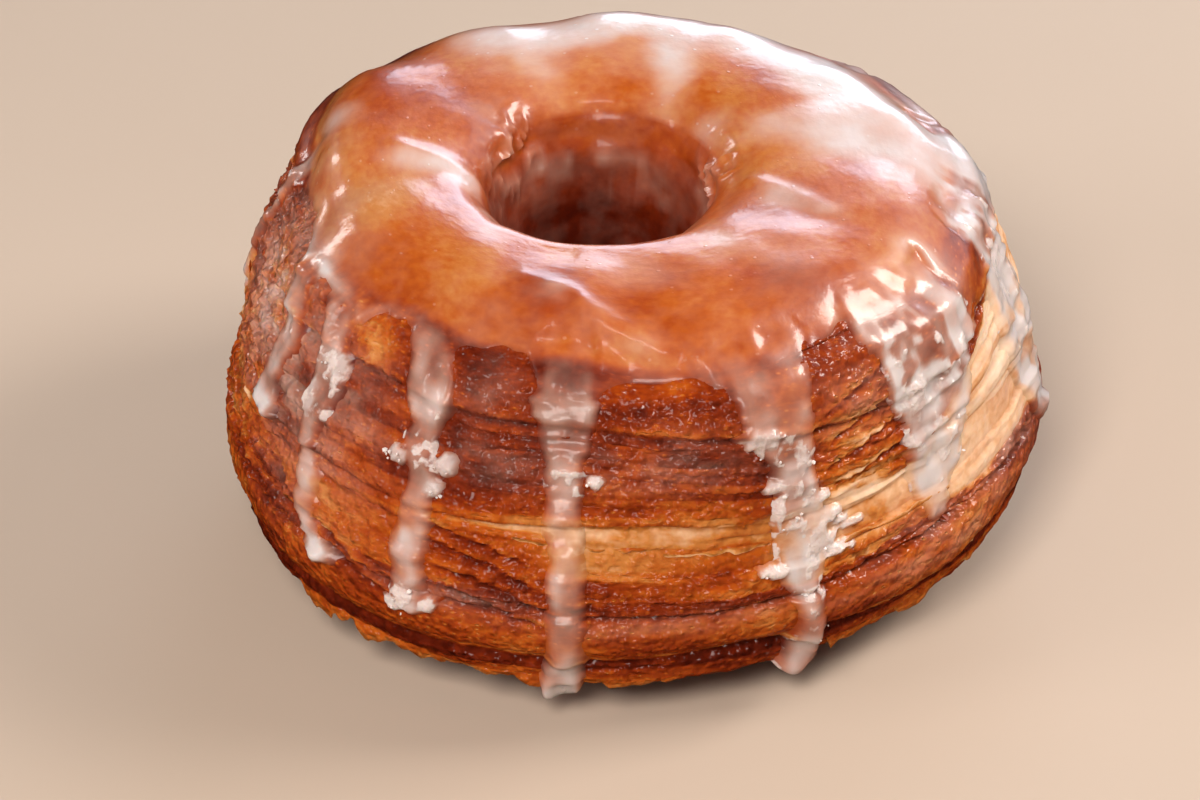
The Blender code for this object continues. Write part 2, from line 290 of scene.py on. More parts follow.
def place(azimuth, distance, lift=0.0):
    """Points on the ring in millimetres, lift standing them off its smooth form."""
    azimuth, distance, lift = np.broadcast_arrays(azimuth, distance, lift)
    radius, height = SHAPE.at(distance)
    ahead = SHAPE.at(distance + 0.2)
    behind = SHAPE.at(distance - 0.2)
    along = np.stack([ahead[0] - behind[0], ahead[1] - behind[1]])
    along = along / np.linalg.norm(along, axis=0)
    radius = radius + along[1] * lift
    height = height - along[0] * lift
    outer = blend(16.0, 34.0, radius)
    up = blend(25.0, 42.0, height)
    swells = up * swell(azimuth, SHOULDER_SWELLS) + (1.0 - up) * swell(azimuth, BELLY_SWELLS)
    radius = radius + outer * swells
    tilt = TOP_TILT[0] * np.cos(np.radians(azimuth - TOP_TILT[1])) * radius / BELLY_RADIUS
    height = height + up * (tilt + outer * swell(azimuth, TOP_LUMPS))
    inner = 1.0 - blend(12.0, 34.0, radius)
    angle = np.radians(azimuth)
    x = radius * np.cos(angle) + HOLE_OFFSET[0] * inner - BOX_CENTRE[0]
    y = radius * np.sin(angle) + HOLE_OFFSET[1] * inner - BOX_CENTRE[1]
    return np.stack([x, y, np.maximum(height, 0.0)], axis=-1)


# ---- random grain


CELL_PRIMES = (73856093, 19349663, 83492791)  # mix a cell's three numbers into one
LUMP_VALUES = 4096  # random values in a table, a power of two


def lumps(points, size, seed):
    """Smooth random values from -1 to 1 at points in millimetres, with lumps of a size."""
    cell = points / np.asarray(size, float)
    base = np.floor(cell).astype(np.int64)
    share = cell - base
    share = share * share * share * (share * (share * 6.0 - 15.0) + 10.0)
    table = np.random.default_rng(seed).uniform(-1.0, 1.0, LUMP_VALUES)
    total = np.zeros(points.shape[:-1])
    for corner in range(8):
        step = np.array([corner & 1, (corner >> 1) & 1, (corner >> 2) & 1])
        key = base + step
        mixed = np.bitwise_xor.reduce(key * CELL_PRIMES, axis=-1)
        weight = np.prod(np.where(step == 1, share, 1.0 - share), axis=-1)
        total += weight * table[mixed & (LUMP_VALUES - 1)]
    return total


def lumpy(points, *layers):
    """Several sizes of lumps added up: the amount, size and seed of each."""
    return sum(amount * lumps(points, size, seed) for amount, size, seed in layers)


def hump(value, centre, width):
    """1 where a value is at a centre, falling softly to 0 on both sides."""
    return np.exp(-(((value - centre) / width) ** 2))


def wall_spots(azimuth, height, table):
    """Soft spots on the wall, added up: azimuth, height, half widths and amount of each."""
    total = np.zeros(height.shape)
    for middle, level, wide, tall, amount in table:
        total = total + amount * hump(apart(azimuth, middle), 0.0, wide) * hump(height, level, tall)
    return total


def top_spots(points, table):
    """Soft round spots on the top, added up: x, y, size and amount of each."""
    total = np.zeros(points.shape[:-1])
    for x, y, size, amount in table:
        total = total + amount * hump(np.hypot(points[..., 0] - x, points[..., 1] - y), 0.0, size)
    return total


def unrolled(azimuth, along):
    """Wall coordinates without a seam: the ring's mean girth and a distance along the section."""
    angle, along = np.broadcast_arrays(np.radians(azimuth), along)
    return np.stack([BELLY_RADIUS * np.cos(angle), BELLY_RADIUS * np.sin(angle), along], axis=-1)


# ---- layers of the wall


def layer_edges(azimuth):
    """Distances of the layers' edges up the wall, one row for each azimuth."""
    edges = np.concatenate([[0.0], np.cumsum([layer[0] for layer in LAYERS])])
    share = edges / edges[-1]
    azimuth = np.asarray(azimuth, float)[..., None]
    number = np.arange(len(edges))
    waver = EDGE_WAVER * np.cos((2 + number % 3) * np.radians(azimuth) + 1.7 * number)
    torn = lumpy(unrolled(azimuth, 70.0 * number), (0.45, (13, 13, 9), 14), (0.18, (4, 4, 9), 15))
    sag = LAYER_SAG[2] * near(azimuth, LAYER_SAG[0], LAYER_SAG[1])
    sag = sag * blend(0.40, 0.80, share) * (1.0 - blend(0.88, 1.0, share))
    wander = swell(azimuth, LAYER_WANDER) + waver + torn
    return share * SHAPE.wall + wander * 4.0 * share * (1.0 - share) - sag


LEAF_LAYER = np.array([number for number, layer in enumerate(LAYERS) for _ in range(layer[2])])
LEAF_COUNT = len(LEAF_LAYER)
FIRST_LEAF = np.concatenate([[True], np.diff(LEAF_LAYER) > 0])


def leaf_edges(azimuth):
    """Distances of the thin leaves' edges: each layer split into its leaves, unevenly."""
    edges = layer_edges(azimuth)
    columns = []
    for number, layer in enumerate(LAYERS):
        low, high = edges[:, number], edges[:, number + 1]
        count = layer[2]
        for leaf in range(count):
            share = np.full(len(azimuth), leaf / count)
            if leaf:
                spots = unrolled(azimuth, 50.0 * (number * 7 + leaf))
                share = share + lumpy(spots, (0.3 / count, (22, 22, 9), 11), (0.1 / count, (6, 6, 9), 12))
            columns.append(mixed(low, high, share))
    columns.append(edges[:, -1])
    return np.stack(columns, axis=1)


class Wall:
    """Which leaf each point of a grid is in, and how far it is from that leaf's edges."""

    def __init__(self, azimuth, distance):
        edges = leaf_edges(azimuth)
        leaf = np.zeros(distance.shape, int)
        for number in range(1, LEAF_COUNT):
            leaf += distance >= edges[:, number : number + 1]
        self.leaf = leaf
        self.layer = LEAF_LAYER[leaf]
        self.below = np.maximum(distance - np.take_along_axis(edges, leaf, axis=1), 0.0)
        self.above = np.maximum(np.take_along_axis(edges, leaf + 1, axis=1) - distance, 0.0)
        self.azimuth = np.broadcast_to(azimuth[:, None], distance.shape)
        self.distance = distance
        strength = edge_strength(azimuth)
        self.groove_below = np.take_along_axis(strength, leaf, axis=1)
        self.groove_above = np.take_along_axis(strength, leaf + 1, axis=1)
        self.skin = unrolled(self.azimuth, distance)
        self.crumb, self.paleness = crumb_shows(self.azimuth, distance, self.skin)
        self.own = unrolled(self.azimuth, 40.0 * leaf)


def edge_strength(azimuth):
    """How strong the groove at each leaf's edge is round the ring: thin ones come and go."""
    columns = []
    for number in range(LEAF_COUNT + 1):
        spots = unrolled(azimuth, 60.0 * number)
        come_and_go = lumps(spots, (15.0, 15.0, 9.0), 13)
        if number == LEAF_COUNT:
            columns.append(0.2 + 0.0 * come_and_go)
        elif FIRST_LEAF[number]:
            columns.append(LAYERS[LEAF_LAYER[number]][4] * (0.85 + 0.45 * come_and_go))
        else:
            columns.append(0.5 * np.clip(0.15 + 1.3 * come_and_go, 0.0, 1.0))
    return np.stack(columns, axis=1)


def crumb_shows(azimuth, distance, skin):
    """How far the pale crumb shows at each point, and how pale it is there."""
    table = np.array(CRUMB)
    low, high, pale = (np.interp(azimuth, table[:, 0], column, period=360.0) for column in table.T[1:])
    torn = lumpy(skin, (0.9, (7, 7, 2.6), 25), (0.5, (1.8, 1.8, 1), 26))
    inside = blend(-0.6, 0.6, distance - low + torn) * blend(-0.6, 0.6, high - distance + torn)
    return inside * np.clip(1.6 * pale, 0.0, 1.0), pale


def by_layer(wall, column):
    """One column of LAYERS, read at each point."""
    return np.array([layer[column] for layer in LAYERS], float)[wall.layer]


def crinkles(skin, size, seed, flat=0.75):
    """Thin wriggling ridges, from 0 between them to 1 on them; flat ones run along the wall."""
    bend = np.stack([lumps(skin, size * 1.7, seed + step) for step in (1, 2, 3)], axis=-1)
    field = lumps(skin + bend * size * np.array([0.8, 0.8, 0.8 * flat]), (size, size, size * flat), seed)
    return np.clip(1.0 - 3.2 * np.abs(field), 0.0, 1.0)


def blisters(wall, fine):
    """The crinkled blisters of the crust, with a strength for the fine ones."""
    return 0.8 * crinkles(wall.skin, 3.0, 31, 0.50) + fine * crinkles(wall.skin, 1.5, 36, 0.80)


# Slanting splits between leaves: from azimuth and height, to azimuth and height
SPLITS = [
    (236, 24.6, 268, 17.4), (240, 21.4, 264, 16.4), (236, 26.6, 256, 22.2), (242, 19.2, 259, 15.4),
    (204, 23.5, 234, 17.2), (210, 20.4, 238, 15.2), (299, 36.6, 313, 39), (300, 33, 315, 35.8),
    (299, 30, 316, 32.6), (300, 27.4, 314, 29.4),
]


def splits(wall):
    """The slanting splits: a gap, which the colour darkens as painted shade, and the pale edge above it,
    from 0 to 1.
    """
    gap, edge = np.zeros(wall.distance.shape), np.zeros(wall.distance.shape)
    wander = lumpy(wall.skin, (0.7, (5, 5, 3), 28), (0.25, (1.6, 1.6, 1.2), 29))
    for start, high, end, low in SPLITS:
        across = apart(wall.azimuth, 0.5 * (start + end)) / (end - start)
        middle = 0.5 * (SHAPE.rise(high) + SHAPE.rise(low))
        off = wall.distance - middle - (SHAPE.rise(low) - SHAPE.rise(high)) * across + wander
        share = 1.0 - blend(0.36, 0.5, np.abs(across))
        gap = np.maximum(gap, share * hump(off, 0.0, 0.30))
        edge = np.maximum(edge, share * hump(off, 0.62, 0.32))
    return gap, edge


def wall_lift(wall, groove, blister):
    """How far the wall's relief stands off the smooth form."""
    roll = wall.layer == ROLL
    lift = by_layer(wall, 1) + np.where(roll, LIP[2] * near(wall.azimuth, LIP[0], LIP[1]), 0.0)
    lift = lift + lumpy(wall.own, (0.20, (13, 13, 9), 21), (0.14, (4, 4, 9), 22))
    width = by_layer(wall, 5)
    under = wall.groove_below * np.exp(-((wall.below / width) ** 1.5))
    over = wall.groove_above * np.exp(-((wall.above / (0.7 * width)) ** 1.5))
    lift = lift - groove * (under + 0.8 * over)
    beads = hump(wall.below, 0.60, 0.35) * (0.8 + 0.9 * lumps(wall.skin, (1.1, 1.1, 3.0), 24))
    lift = lift + 0.24 * wall.groove_below * beads * np.where(roll, 0.0, 1.0)
    rough = (1.0 - 0.9 * wall.crumb) * np.where(roll, 0.40 + 0.4 * near(wall.azimuth, 325.0, 30.0), 1.0)
    rough = rough * (1.0 + 0.8 * near(wall.azimuth, 195.0, 45.0) + 0.5 * near(wall.azimuth, 307.0, 22.0))
    rough = rough * np.where(wall.layer < ROLL, 0.45, 1.0)
    bubbly = blisters(wall, 1.3) + 1.1 * lumps(wall.skin, (1.1, 1.1, 0.9), 33)
    lift = lift + blister * rough * bubbly
    gap, edge = splits(wall)
    fibres = lumpy(wall.skin, (1.0, (1.6, 1.6, 5), 34), (0.9, (3.4, 3.4, 8), 35))
    fibres = fibres * wall.crumb * (0.4 + 0.6 * near(wall.azimuth, 350.0, 45.0))
    return lift - groove * (0.45 * gap - 0.22 * edge) + 0.15 * fibres


# Places that are browner or paler than their layer: azimuth, height, half widths, amount
PATCHES = [
    (238, 26, 12, 4, 0.06), (216, 10, 40, 6, 0.16), (250, 40.5, 5, 2.2, -0.02),
    (223, 40.6, 6, 2.6, -0.22), (273, 42, 9, 0.8, -0.12), (273, 40.2, 9, 1.2, 0.08),
    (272, 38, 10, 0.7, -0.14), (229, 30, 8, 4, 0.06), (205, 28, 14, 7, 0.12),
    (250, 26.2, 11, 1.8, -0.06), (249, 20.6, 9, 2.6, 0.22), (247, 31.5, 11, 4, 0.12),
    (211, 25.5, 9, 7, 0.2), (325, 11.5, 16, 3, -0.06), (286, 20.5, 10, 2, 0.06), (335, 35, 9, 4, -0.1),
    (305, 33, 8, 7, -0.4), (194, 37, 14, 7, -0.2), (300, 14, 16, 3, -0.05), (205, 16, 9, 6, 0.16),
]

# The darker leaf under the roll is painted shade.
SKIRT = (-0.20, 0.26)  # how much paler its lowest leaf is, and how much darker it is under the roll

# Places where a thin film of glaze veils the wall: azimuth, height, half widths, milkiness
FILMS = [
    (248, 33.5, 12, 2, 0.08), (276, 34.5, 14, 3.4, 0.11), (226, 36, 6, 4, 0.06),
    (228, 32.5, 6, 1.6, 0.06), (194, 36, 17, 8, 0.44), (216, 29, 12, 8, 0.2), (248, 40, 5, 3, 0.1),
    (278, 15.5, 20, 1.2, 0.1), (243, 17.5, 12, 1.2, 0.12), (306, 37.5, 8, 4, 0.18),
    (344, 25, 14, 8, 0.26), (338, 20.5, 14, 2.5, 0.16), (322, 14.8, 18, 1.8, 0.2),
    (318, 19, 8, 2, 0.14), (20, 38, 20, 4, 0.16), (110, 36, 24, 4, 0.12), (150, 37, 16, 5, 0.14),
]

# Patches of the dough under the top's glaze: x, y, size, amount
AMBER = [
    (-21, -17.5, 7, -0.08), (-27, -8, 5, -0.06), (2, -29, 7, 0.05), (-10, -26.5, 3, 0.12),
    (-26, 13, 8, 0.05), (-18, -27, 5, -0.05), (-4, 20, 6, 0.04), (20, -20, 9, 0.04), (12, -24, 4, 0.06),
    (28, 2, 6, 0.08), (16, 20, 4, 0.05),
]


def browning(wall, points):
    """How browned the surface is, from 0 for crumb to 1 for burnt."""
    brown = by_layer(wall, 3)
    brown = mixed(brown, 0.62 - 0.28 * wall.paleness, wall.crumb)
    skirt = 0.6 + 0.8 * near(wall.azimuth, 245.0, 60.0)
    lowest = (wall.leaf == 0) + 0.5 * (wall.leaf == 1)
    # The skirt's lowest leaves are paler; its top leaf, under the roll, is darkened as painted shade
    brown = brown + skirt * SKIRT[0] * lowest + SKIRT[1] * (wall.leaf == 2)
    brown = brown + wall_spots(wall.azimuth, points[..., 2], PATCHES)
    brown = brown + lumpy(wall.own, (0.12, (14, 14, 9), 41), (0.08, (4.5, 4.5, 9), 42))
    brown = brown + lumpy(wall.skin, (0.10, (9, 9, 3), 40))
    # Painted shade: the grooves between leaves are darker on both sides of each edge
    groove_shade = wall.groove_below * hump(wall.below, 0.0, 0.30)
    groove_shade = groove_shade + wall.groove_above * hump(wall.above, 0.0, 0.35)
    gold = wall.groove_below * hump(wall.below, 0.65, 0.35)
    gold = gold * (0.6 + 0.6 * lumps(wall.skin, (1.6, 1.6, 4.0), 49))
    gap, edge = splits(wall)
    # The splits' gaps are darkened as painted shade
    brown = brown + 0.17 * groove_shade - 0.20 * gold + 0.24 * gap - 0.16 * edge
    mottle = lumpy(wall.skin, (0.06, (3.4, 3.4, 1.6), 43), (0.03, (1.2, 1.2, 0.9), 44))
    light = blisters(wall, 1.2) * (0.05 + 0.12 * near(wall.azimuth, 190.0, 50.0))
    brown = brown + mottle * (1.0 - 0.7 * wall.crumb) - light * (1.0 - 0.9 * wall.crumb)
    amber = 0.48 + lumpy(points, (0.11, 9, 45), (0.07, 4, 46)) + top_spots(points, AMBER)
    brown = mixed(brown, amber, blend(SHAPE.wall - 0.5, SHAPE.wall + 1.5, wall.distance))
    depth = wall.distance - SHAPE.rim
    # Down the hole the dough is browner than on the top, and darker still further down, which is painted
    # shade
    inside = 0.56 + 0.20 * blend(2.0, 7.0, depth) + 0.19 * blend(8.0, 13.0, depth)
    inside = inside + 0.08 * lumps(points, 4.0, 47)
    brown = mixed(brown, inside, blend(-0.6, 0.6, depth))
    under = blend(SHAPE.hole, SHAPE.hole + 3.0, wall.distance)
    under = under * (1.0 - blend(SHAPE.total - 3.0, SHAPE.total, wall.distance))
    return np.clip(mixed(brown, 0.70 + 0.06 * lumps(points, 8.0, 48), under), 0.0, 0.95)


def film_on_wall(wall, points):
    """Milkiness of the thin film of glaze on the bare wall."""
    film = wall_spots(wall.azimuth, points[..., 2], FILMS)
    return film * np.clip(0.9 + 0.9 * lumps(wall.skin, (3.0, 3.0, 1.2), 27), 0.0, 1.6)


def grain_of(wall, points):
    """Coordinates in millimetres that follow the leaves, for the materials' patterns."""
    middle = leaf_edges(np.arange(0.0, 360.0, 5.0)).mean(axis=0)
    along = middle[wall.leaf] + wall.below
    along = np.where(wall.distance < SHAPE.wall, along, wall.distance)
    return np.stack([points[..., 0], points[..., 1], along], axis=-1)


# ---- meshes


def new_piece(name, points, faces, smooth_angle=180.0):
    """A mesh object from points in millimetres, shaded smooth below an angle."""
    mesh = bpy.data.meshes.new(name)
    mesh.from_pydata((np.asarray(points) * MM).tolist(), [], faces)
    mesh.update()
    mesh.shade_smooth()
    if smooth_angle < 180.0:
        mesh.set_sharp_from_angle(angle=math.radians(smooth_angle))
    piece = bpy.data.objects.new(name, mesh)
    bpy.context.scene.collection.objects.link(piece)
    return piece


def store(piece, **fields):
    """Stores numbers or vectors, one for each vertex, for the materials to read."""
    for name, values in fields.items():
        values = np.ascontiguousarray(values, np.float32).reshape(-1)
        vectors = values.size > len(piece.data.vertices)
        attribute = piece.data.attributes.new(name, "FLOAT_VECTOR" if vectors else "FLOAT", "POINT")
        attribute.data.foreach_set("vector" if vectors else "value", values)


def dress(piece, material):
    """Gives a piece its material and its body."""
    piece.data.materials.append(material)
    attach(piece, "root")


def torus_faces(columns, rows):
    """Quads of a grid that closes both round the ring and round its section."""
    column = np.arange(columns)[:, None]
    row = np.arange(rows)[None, :]
    beyond = (column + 1) % columns
    above = (row + 1) % rows
    quads = [column * rows + row, beyond * rows + row, beyond * rows + above, column * rows + above]
    return np.stack(np.broadcast_arrays(*quads), axis=-1).reshape(-1, 4).tolist()


def shell_faces(kept):
    """Quads of a closed shell: two grids, one behind the other, joined round the kept cells.

    kept says which cells of a grid, closed round the ring, the shell covers.
    """
    columns, cells = kept.shape
    rows = cells + 1
    behind = columns * rows
    column, row = np.nonzero(kept)
    beyond = (column + 1) % columns
    near_side, far_side = column * rows + row, beyond * rows + row
    corners = np.stack([near_side, far_side, far_side + 1, near_side + 1])
    faces = [corners.T, corners[::-1].T + behind]
    open_below = np.ones_like(kept)
    open_below[:, 1:] = ~kept[:, :-1]
    open_above = np.ones_like(kept)
    open_above[:, :-1] = ~kept[:, 1:]
    sides = (open_below, ~np.roll(kept, -1, 0), open_above, ~np.roll(kept, 1, 0))
    for side, is_open in enumerate(sides):
        chosen = is_open[column, row]
        a, b = corners[side][chosen], corners[(side + 1) % 4][chosen]
        faces.append(np.stack([b, a, a + behind, b + behind], axis=1))
    return np.concatenate(faces)


def drop_unused(points, faces, *values):
    """Leaves only the points that faces use, with their stored values."""
    used = np.unique(faces)
    renumbered = np.zeros(len(points), int)
    renumbered[used] = np.arange(len(used))
    return points[used], renumbered[faces].tolist(), [value[used] for value in values]


# ---- dough


DOUGH_COLUMNS = 580
LEAF_ROW_STEP = 0.34  # mm between rows of the wall's mesh
PLAIN_ROWS = (12, 12, 12)  # rows of the mesh over the top, down the hole and under the base


def dough_rows(azimuth):
    """Distances of the dough's mesh rows, which follow the leaves up the wall."""
    edges = leaf_edges(azimuth)
    rows = []
    mean = edges.mean(axis=0)
    for leaf in range(LEAF_COUNT):
        low, high = edges[:, leaf], edges[:, leaf + 1]
        count = max(4, round((mean[leaf + 1] - mean[leaf]) / LEAF_ROW_STEP))
        even = (np.arange(count) + 0.06) / count
        share = 0.5 * even + 0.5 * (0.5 - 0.5 * np.cos(math.pi * even))
        rows += [mixed(low, high, part) for part in share]
    stops = (SHAPE.wall, SHAPE.rim, SHAPE.hole, SHAPE.total)
    for start, end, count in zip(stops, stops[1:], PLAIN_ROWS):
        rows += [np.full(len(azimuth), spot) for spot in np.linspace(start, end, count, endpoint=False)]
    return np.stack(rows, axis=1)


# Where the ring departs from its plain section: azimuth, half width, distance along the section,
# reach, amount outwards
HOLLOWS = [
    (262.0, 80.0, SHAPE.rim - 1.0, 3.4, -2.5),  # the front of the hole's mouth is opened
    (169.0, 22.0, 37.0, 6.0, -2.6),
    (184.0, 24.0, 34.0, 7.5, -1.5),
    (151.0, 18.0, 43.0, 5.0, 1.2),
]


def hollows(azimuth, distance):
    """How far the dough and its glaze stand off the plain section."""
    off = np.zeros(np.broadcast(azimuth, distance).shape)
    for middle, half_width, along, reach, amount in HOLLOWS:
        off = off + amount * near(azimuth, middle, half_width) * hump(distance, along, reach)
    return off


def under_glaze(distance):
    """How far the dough is sunk below the solid where the glaze covers it."""
    down = blend(SHAPE.wall - 3.0, SHAPE.wall + 3.0, distance)
    return TOP_SINK * down * (1.0 - blend(SHAPE.rim + 10.0, SHAPE.rim + 24.0, distance))


def down_hole(points, distance):
    """How far each point is down the hole, from 0 to 1, and how uneven the wall is there."""
    inside = blend(SHAPE.rim + 1.0, SHAPE.rim + 5.0, distance) * blend(2.0, 8.0, points[..., 2])
    return inside, 0.5 * inside * lumps(points, (3.5, 3.5, 2.2), 53)


def make_dough(settings):
    """The ring of dough with its leaves, grooves and blisters."""
    azimuth = np.arange(DOUGH_COLUMNS) * 360.0 / DOUGH_COLUMNS
    distance = dough_rows(azimuth)
    wall = Wall(azimuth, distance)
    smooth = place(azimuth[:, None], distance)
    plain = lumpy(smooth, (0.25, 6, 51), (0.12, 2.2, 52)) * blend(0.3, 1.5, smooth[..., 2])
    plain = plain + down_hole(smooth, distance)[1]
    relief = wall_lift(wall, settings.groove_depth, settings.blister_height)
    relief = mixed(relief, plain, blend(SHAPE.wall - 3.0, SHAPE.wall, distance))
    lift = relief - under_glaze(distance) + hollows(azimuth[:, None], distance)
    points = place(azimuth[:, None], distance, lift)
    piece = new_piece("dough", points.reshape(-1, 3), torus_faces(*distance.shape))
    on_wall = 1.0 - blend(SHAPE.wall - 1.0, SHAPE.wall + 1.0, distance)
    store(
        piece,
        browning=browning(wall, points),
        layered=on_wall * (1.0 - 0.65 * wall.crumb),
        veil=film_on_wall(wall, points) * (distance < SHAPE.wall + 4.0),
        grain=grain_of(wall, points),
    )
    return piece


# ---- glaze

GLAZE_DOWN_HOLE = 26.0  # how far past the rim the glaze reaches
FINE_COLUMN = 0.40  # mm between columns where glaze runs
COARSE_COLUMN = 1.0
GLAZE_ROW_STEPS = (0.42, 0.5, 1.0, 0.7, 1.5)  # mm between rows: wall, edge, top, rim, down the hole
WEB = 2.2  # how softly a run leaves the glaze above it
LUMP_MILK = 0.78  # how milky the glaze is round a lump of dried sugar
SHELL_MARGIN = 0.55  # how far the glaze's shell goes on past its outline, sinking into the dough
SHELL_DEPTH = 0.9  # how deep in the dough the shell's hidden side lies
TOP_LEVEL = 30.0  # the patterns of the top are kept above this height

# Where the poured glaze ends on the shoulder: azimuth, height
GLAZE_BORDER = [
    (12, 36), (40, 36.5), (75, 38.2), (110, 40.6), (140, 38.2), (158, 38.6), (172, 41.4), (187, 43.8),
    (194, 42.7), (200, 41.6), (209, 41.4), (215, 41), (219, 40.6), (223, 42.4), (228, 42.7),
    (238, 42.4), (243, 43.2), (248, 43.6), (252, 43), (256, 41.6), (264, 41.4), (267, 42.2),
    (270, 42.9), (275, 43.3), (280, 42.9), (283, 42), (288, 41.6), (297, 42.2), (301, 43.1),
    (305, 42.9), (309, 44), (314, 44.2), (320, 43.6), (328, 42.5), (334, 38.6), (340, 36.4),
    (348, 36.4), (356, 37),
]

# Milkier patches of the top: x, y, size, amount. Many are painted reflection: the white of the window
# behind over the back and right of the top, and painted highlights beside the hole and along the left
# border
MILK_AND_REFLECTION_PATCHES = [
    (-33, -15, 7, 0.34), (-16, -31, 7, 0.24), (-30, -3, 6, 0.24), (-24.8, -0.4, 2.6, 0.55),
    (-21.5, -1, 2.4, 0.55), (-18.2, -2.4, 2.8, 0.7), (-15.6, -8.5, 2.2, 0.55), (-17, 25.5, 5.5, 0.75),
    (-9, 25.5, 5, 0.8), (-10.5, 18.5, 4, 0.35), (-16.5, 10.5, 3.5, 0.3), (-3, 27.5, 4.5, 0.9),
    (6, 27, 4.5, 1.1), (14, 24, 4.5, 1.1), (20.5, 18, 5, 1.1), (24, 10.5, 5.5, 1), (30, 4, 5.5, 1.1),
    (22, 2, 4.5, 0.8), (15, 6, 3.5, 0.55), (36, 0, 5, 0.8), (28, -5, 3.5, 0.5), (39, 8, 5, 0.9),
    (35, 18, 5, 0.9), (28, 27, 5, 0.8), (16, 33, 5, 0.7), (0, 35, 5, 0.6), (15.8, -8.4, 3.2, 0.7),
    (21, -11.2, 2.4, 0.45), (9, -17, 3, 0.6), (26, -21.5, 2.6, 0.6), (30.5, -17, 3.2, 0.8),
    (22, -28, 2.2, 0.6), (-35, -15, 2.2, 0.5), (-33.5, 9, 3.2, 0.55), (-15, -14, 3, 0.45),
    (-2, -21, 4, 0.24), (-8.2, -26.3, 2.2, 0.42), (8, -37, 5, 0.22), (-3.9, -30.5, 2.4, 0.42),
    (0.4, -32.8, 2.2, 0.4), (10, -30, 5, 0.14), (-4, 18.5, 4, -0.25), (4.9, 21.4, 3.2, 0.6),
    (5.2, 17.2, 3, 0.6), (4.2, 13.4, 2.6, 0.45), (8.5, 7.8, 3, 0.5), (12, 15, 3.5, -0.4),
]

# Low ridges in the top's glaze: from (x, y) to (x, y), half width, height
RIDGES = [
    ((-5.6, -29.4), (2.6, -34), 1.1, 0.85), ((-12.3, -24.3), (-6.5, -27.7), 1, 0.42),
    ((-26, 1.5), (-15.5, -1.5), 1.6, 0.42), ((12.7, -4.5), (20.5, -11.6), 1.3, 0.3),
    ((12, 26), (30, 8), 3, 0.3), ((6, -34.4), (7.2, -34.5), 0.7, 0.5),
    ((-35.7, -12), (-33.4, -17.8), 0.8, 0.4),
]


# Down an ordinary run: share of its length, share of its width, milkiness, thickness, sugar
PLAIN_STATIONS = [
    (-0.1, 2.6, 0.3, 0.4, 0), (0.08, 1.5, 0.45, 0.45, 0.2), (0.3, 1, 0.55, 0.6, 0.7),
    (0.45, 0.9, 0.5, 0.55, 0.3), (0.7, 0.8, 0.55, 0.55, 0), (0.9, 1.1, 0.8, 1, 0.1), (1, 0.9, 0.85, 1, 0.1),
]


def plain_run(start, end, length, width):
    """Stations of an ordinary run: wide where it leaves the top, beaded at its end."""
    stations = []
    for share, wide, milk, thick, sugar in PLAIN_STATIONS:
        height = float(SHAPE.at(SHAPE.wall - length * share)[1])
        stations.append((height, mixed(start, end, share), width * wide, milk, thick, sugar))
    return stations


ALL_RUNS = [np.array(run)[::-1] for run in GLAZE_RUNS + [plain_run(*run) for run in BACK_RUNS]]


def glaze_columns():
    """Azimuths of the glaze's mesh columns, close together where a run may be."""
    reach = []
    for run in ALL_RUNS:
        margin = np.degrees((0.5 * run[:, 2] + 1.0) / BELLY_RADIUS)
        reach.append((np.min(run[:, 1] - margin), np.max(run[:, 1] + margin)))
    azimuths = [0.0]
    while azimuths[-1] < 360.0:
        here = azimuths[-1]
        busy = any(low <= here + turn <= high for low, high in reach for turn in (-360.0, 0.0))
        azimuths.append(here + math.degrees((FINE_COLUMN if busy else COARSE_COLUMN) / BELLY_RADIUS))
    azimuths = np.array(azimuths[:-1])
    return azimuths * 360.0 / (2.0 * azimuths[-1] - azimuths[-2])


def soft_max(first, second, softness):
    """The larger of two fields, with the corner between them rounded."""
    share = np.clip(0.5 + 0.5 * (first - second) / softness, 0.0, 1.0)
    return second + (first - second) * share + softness * share * (1.0 - share)


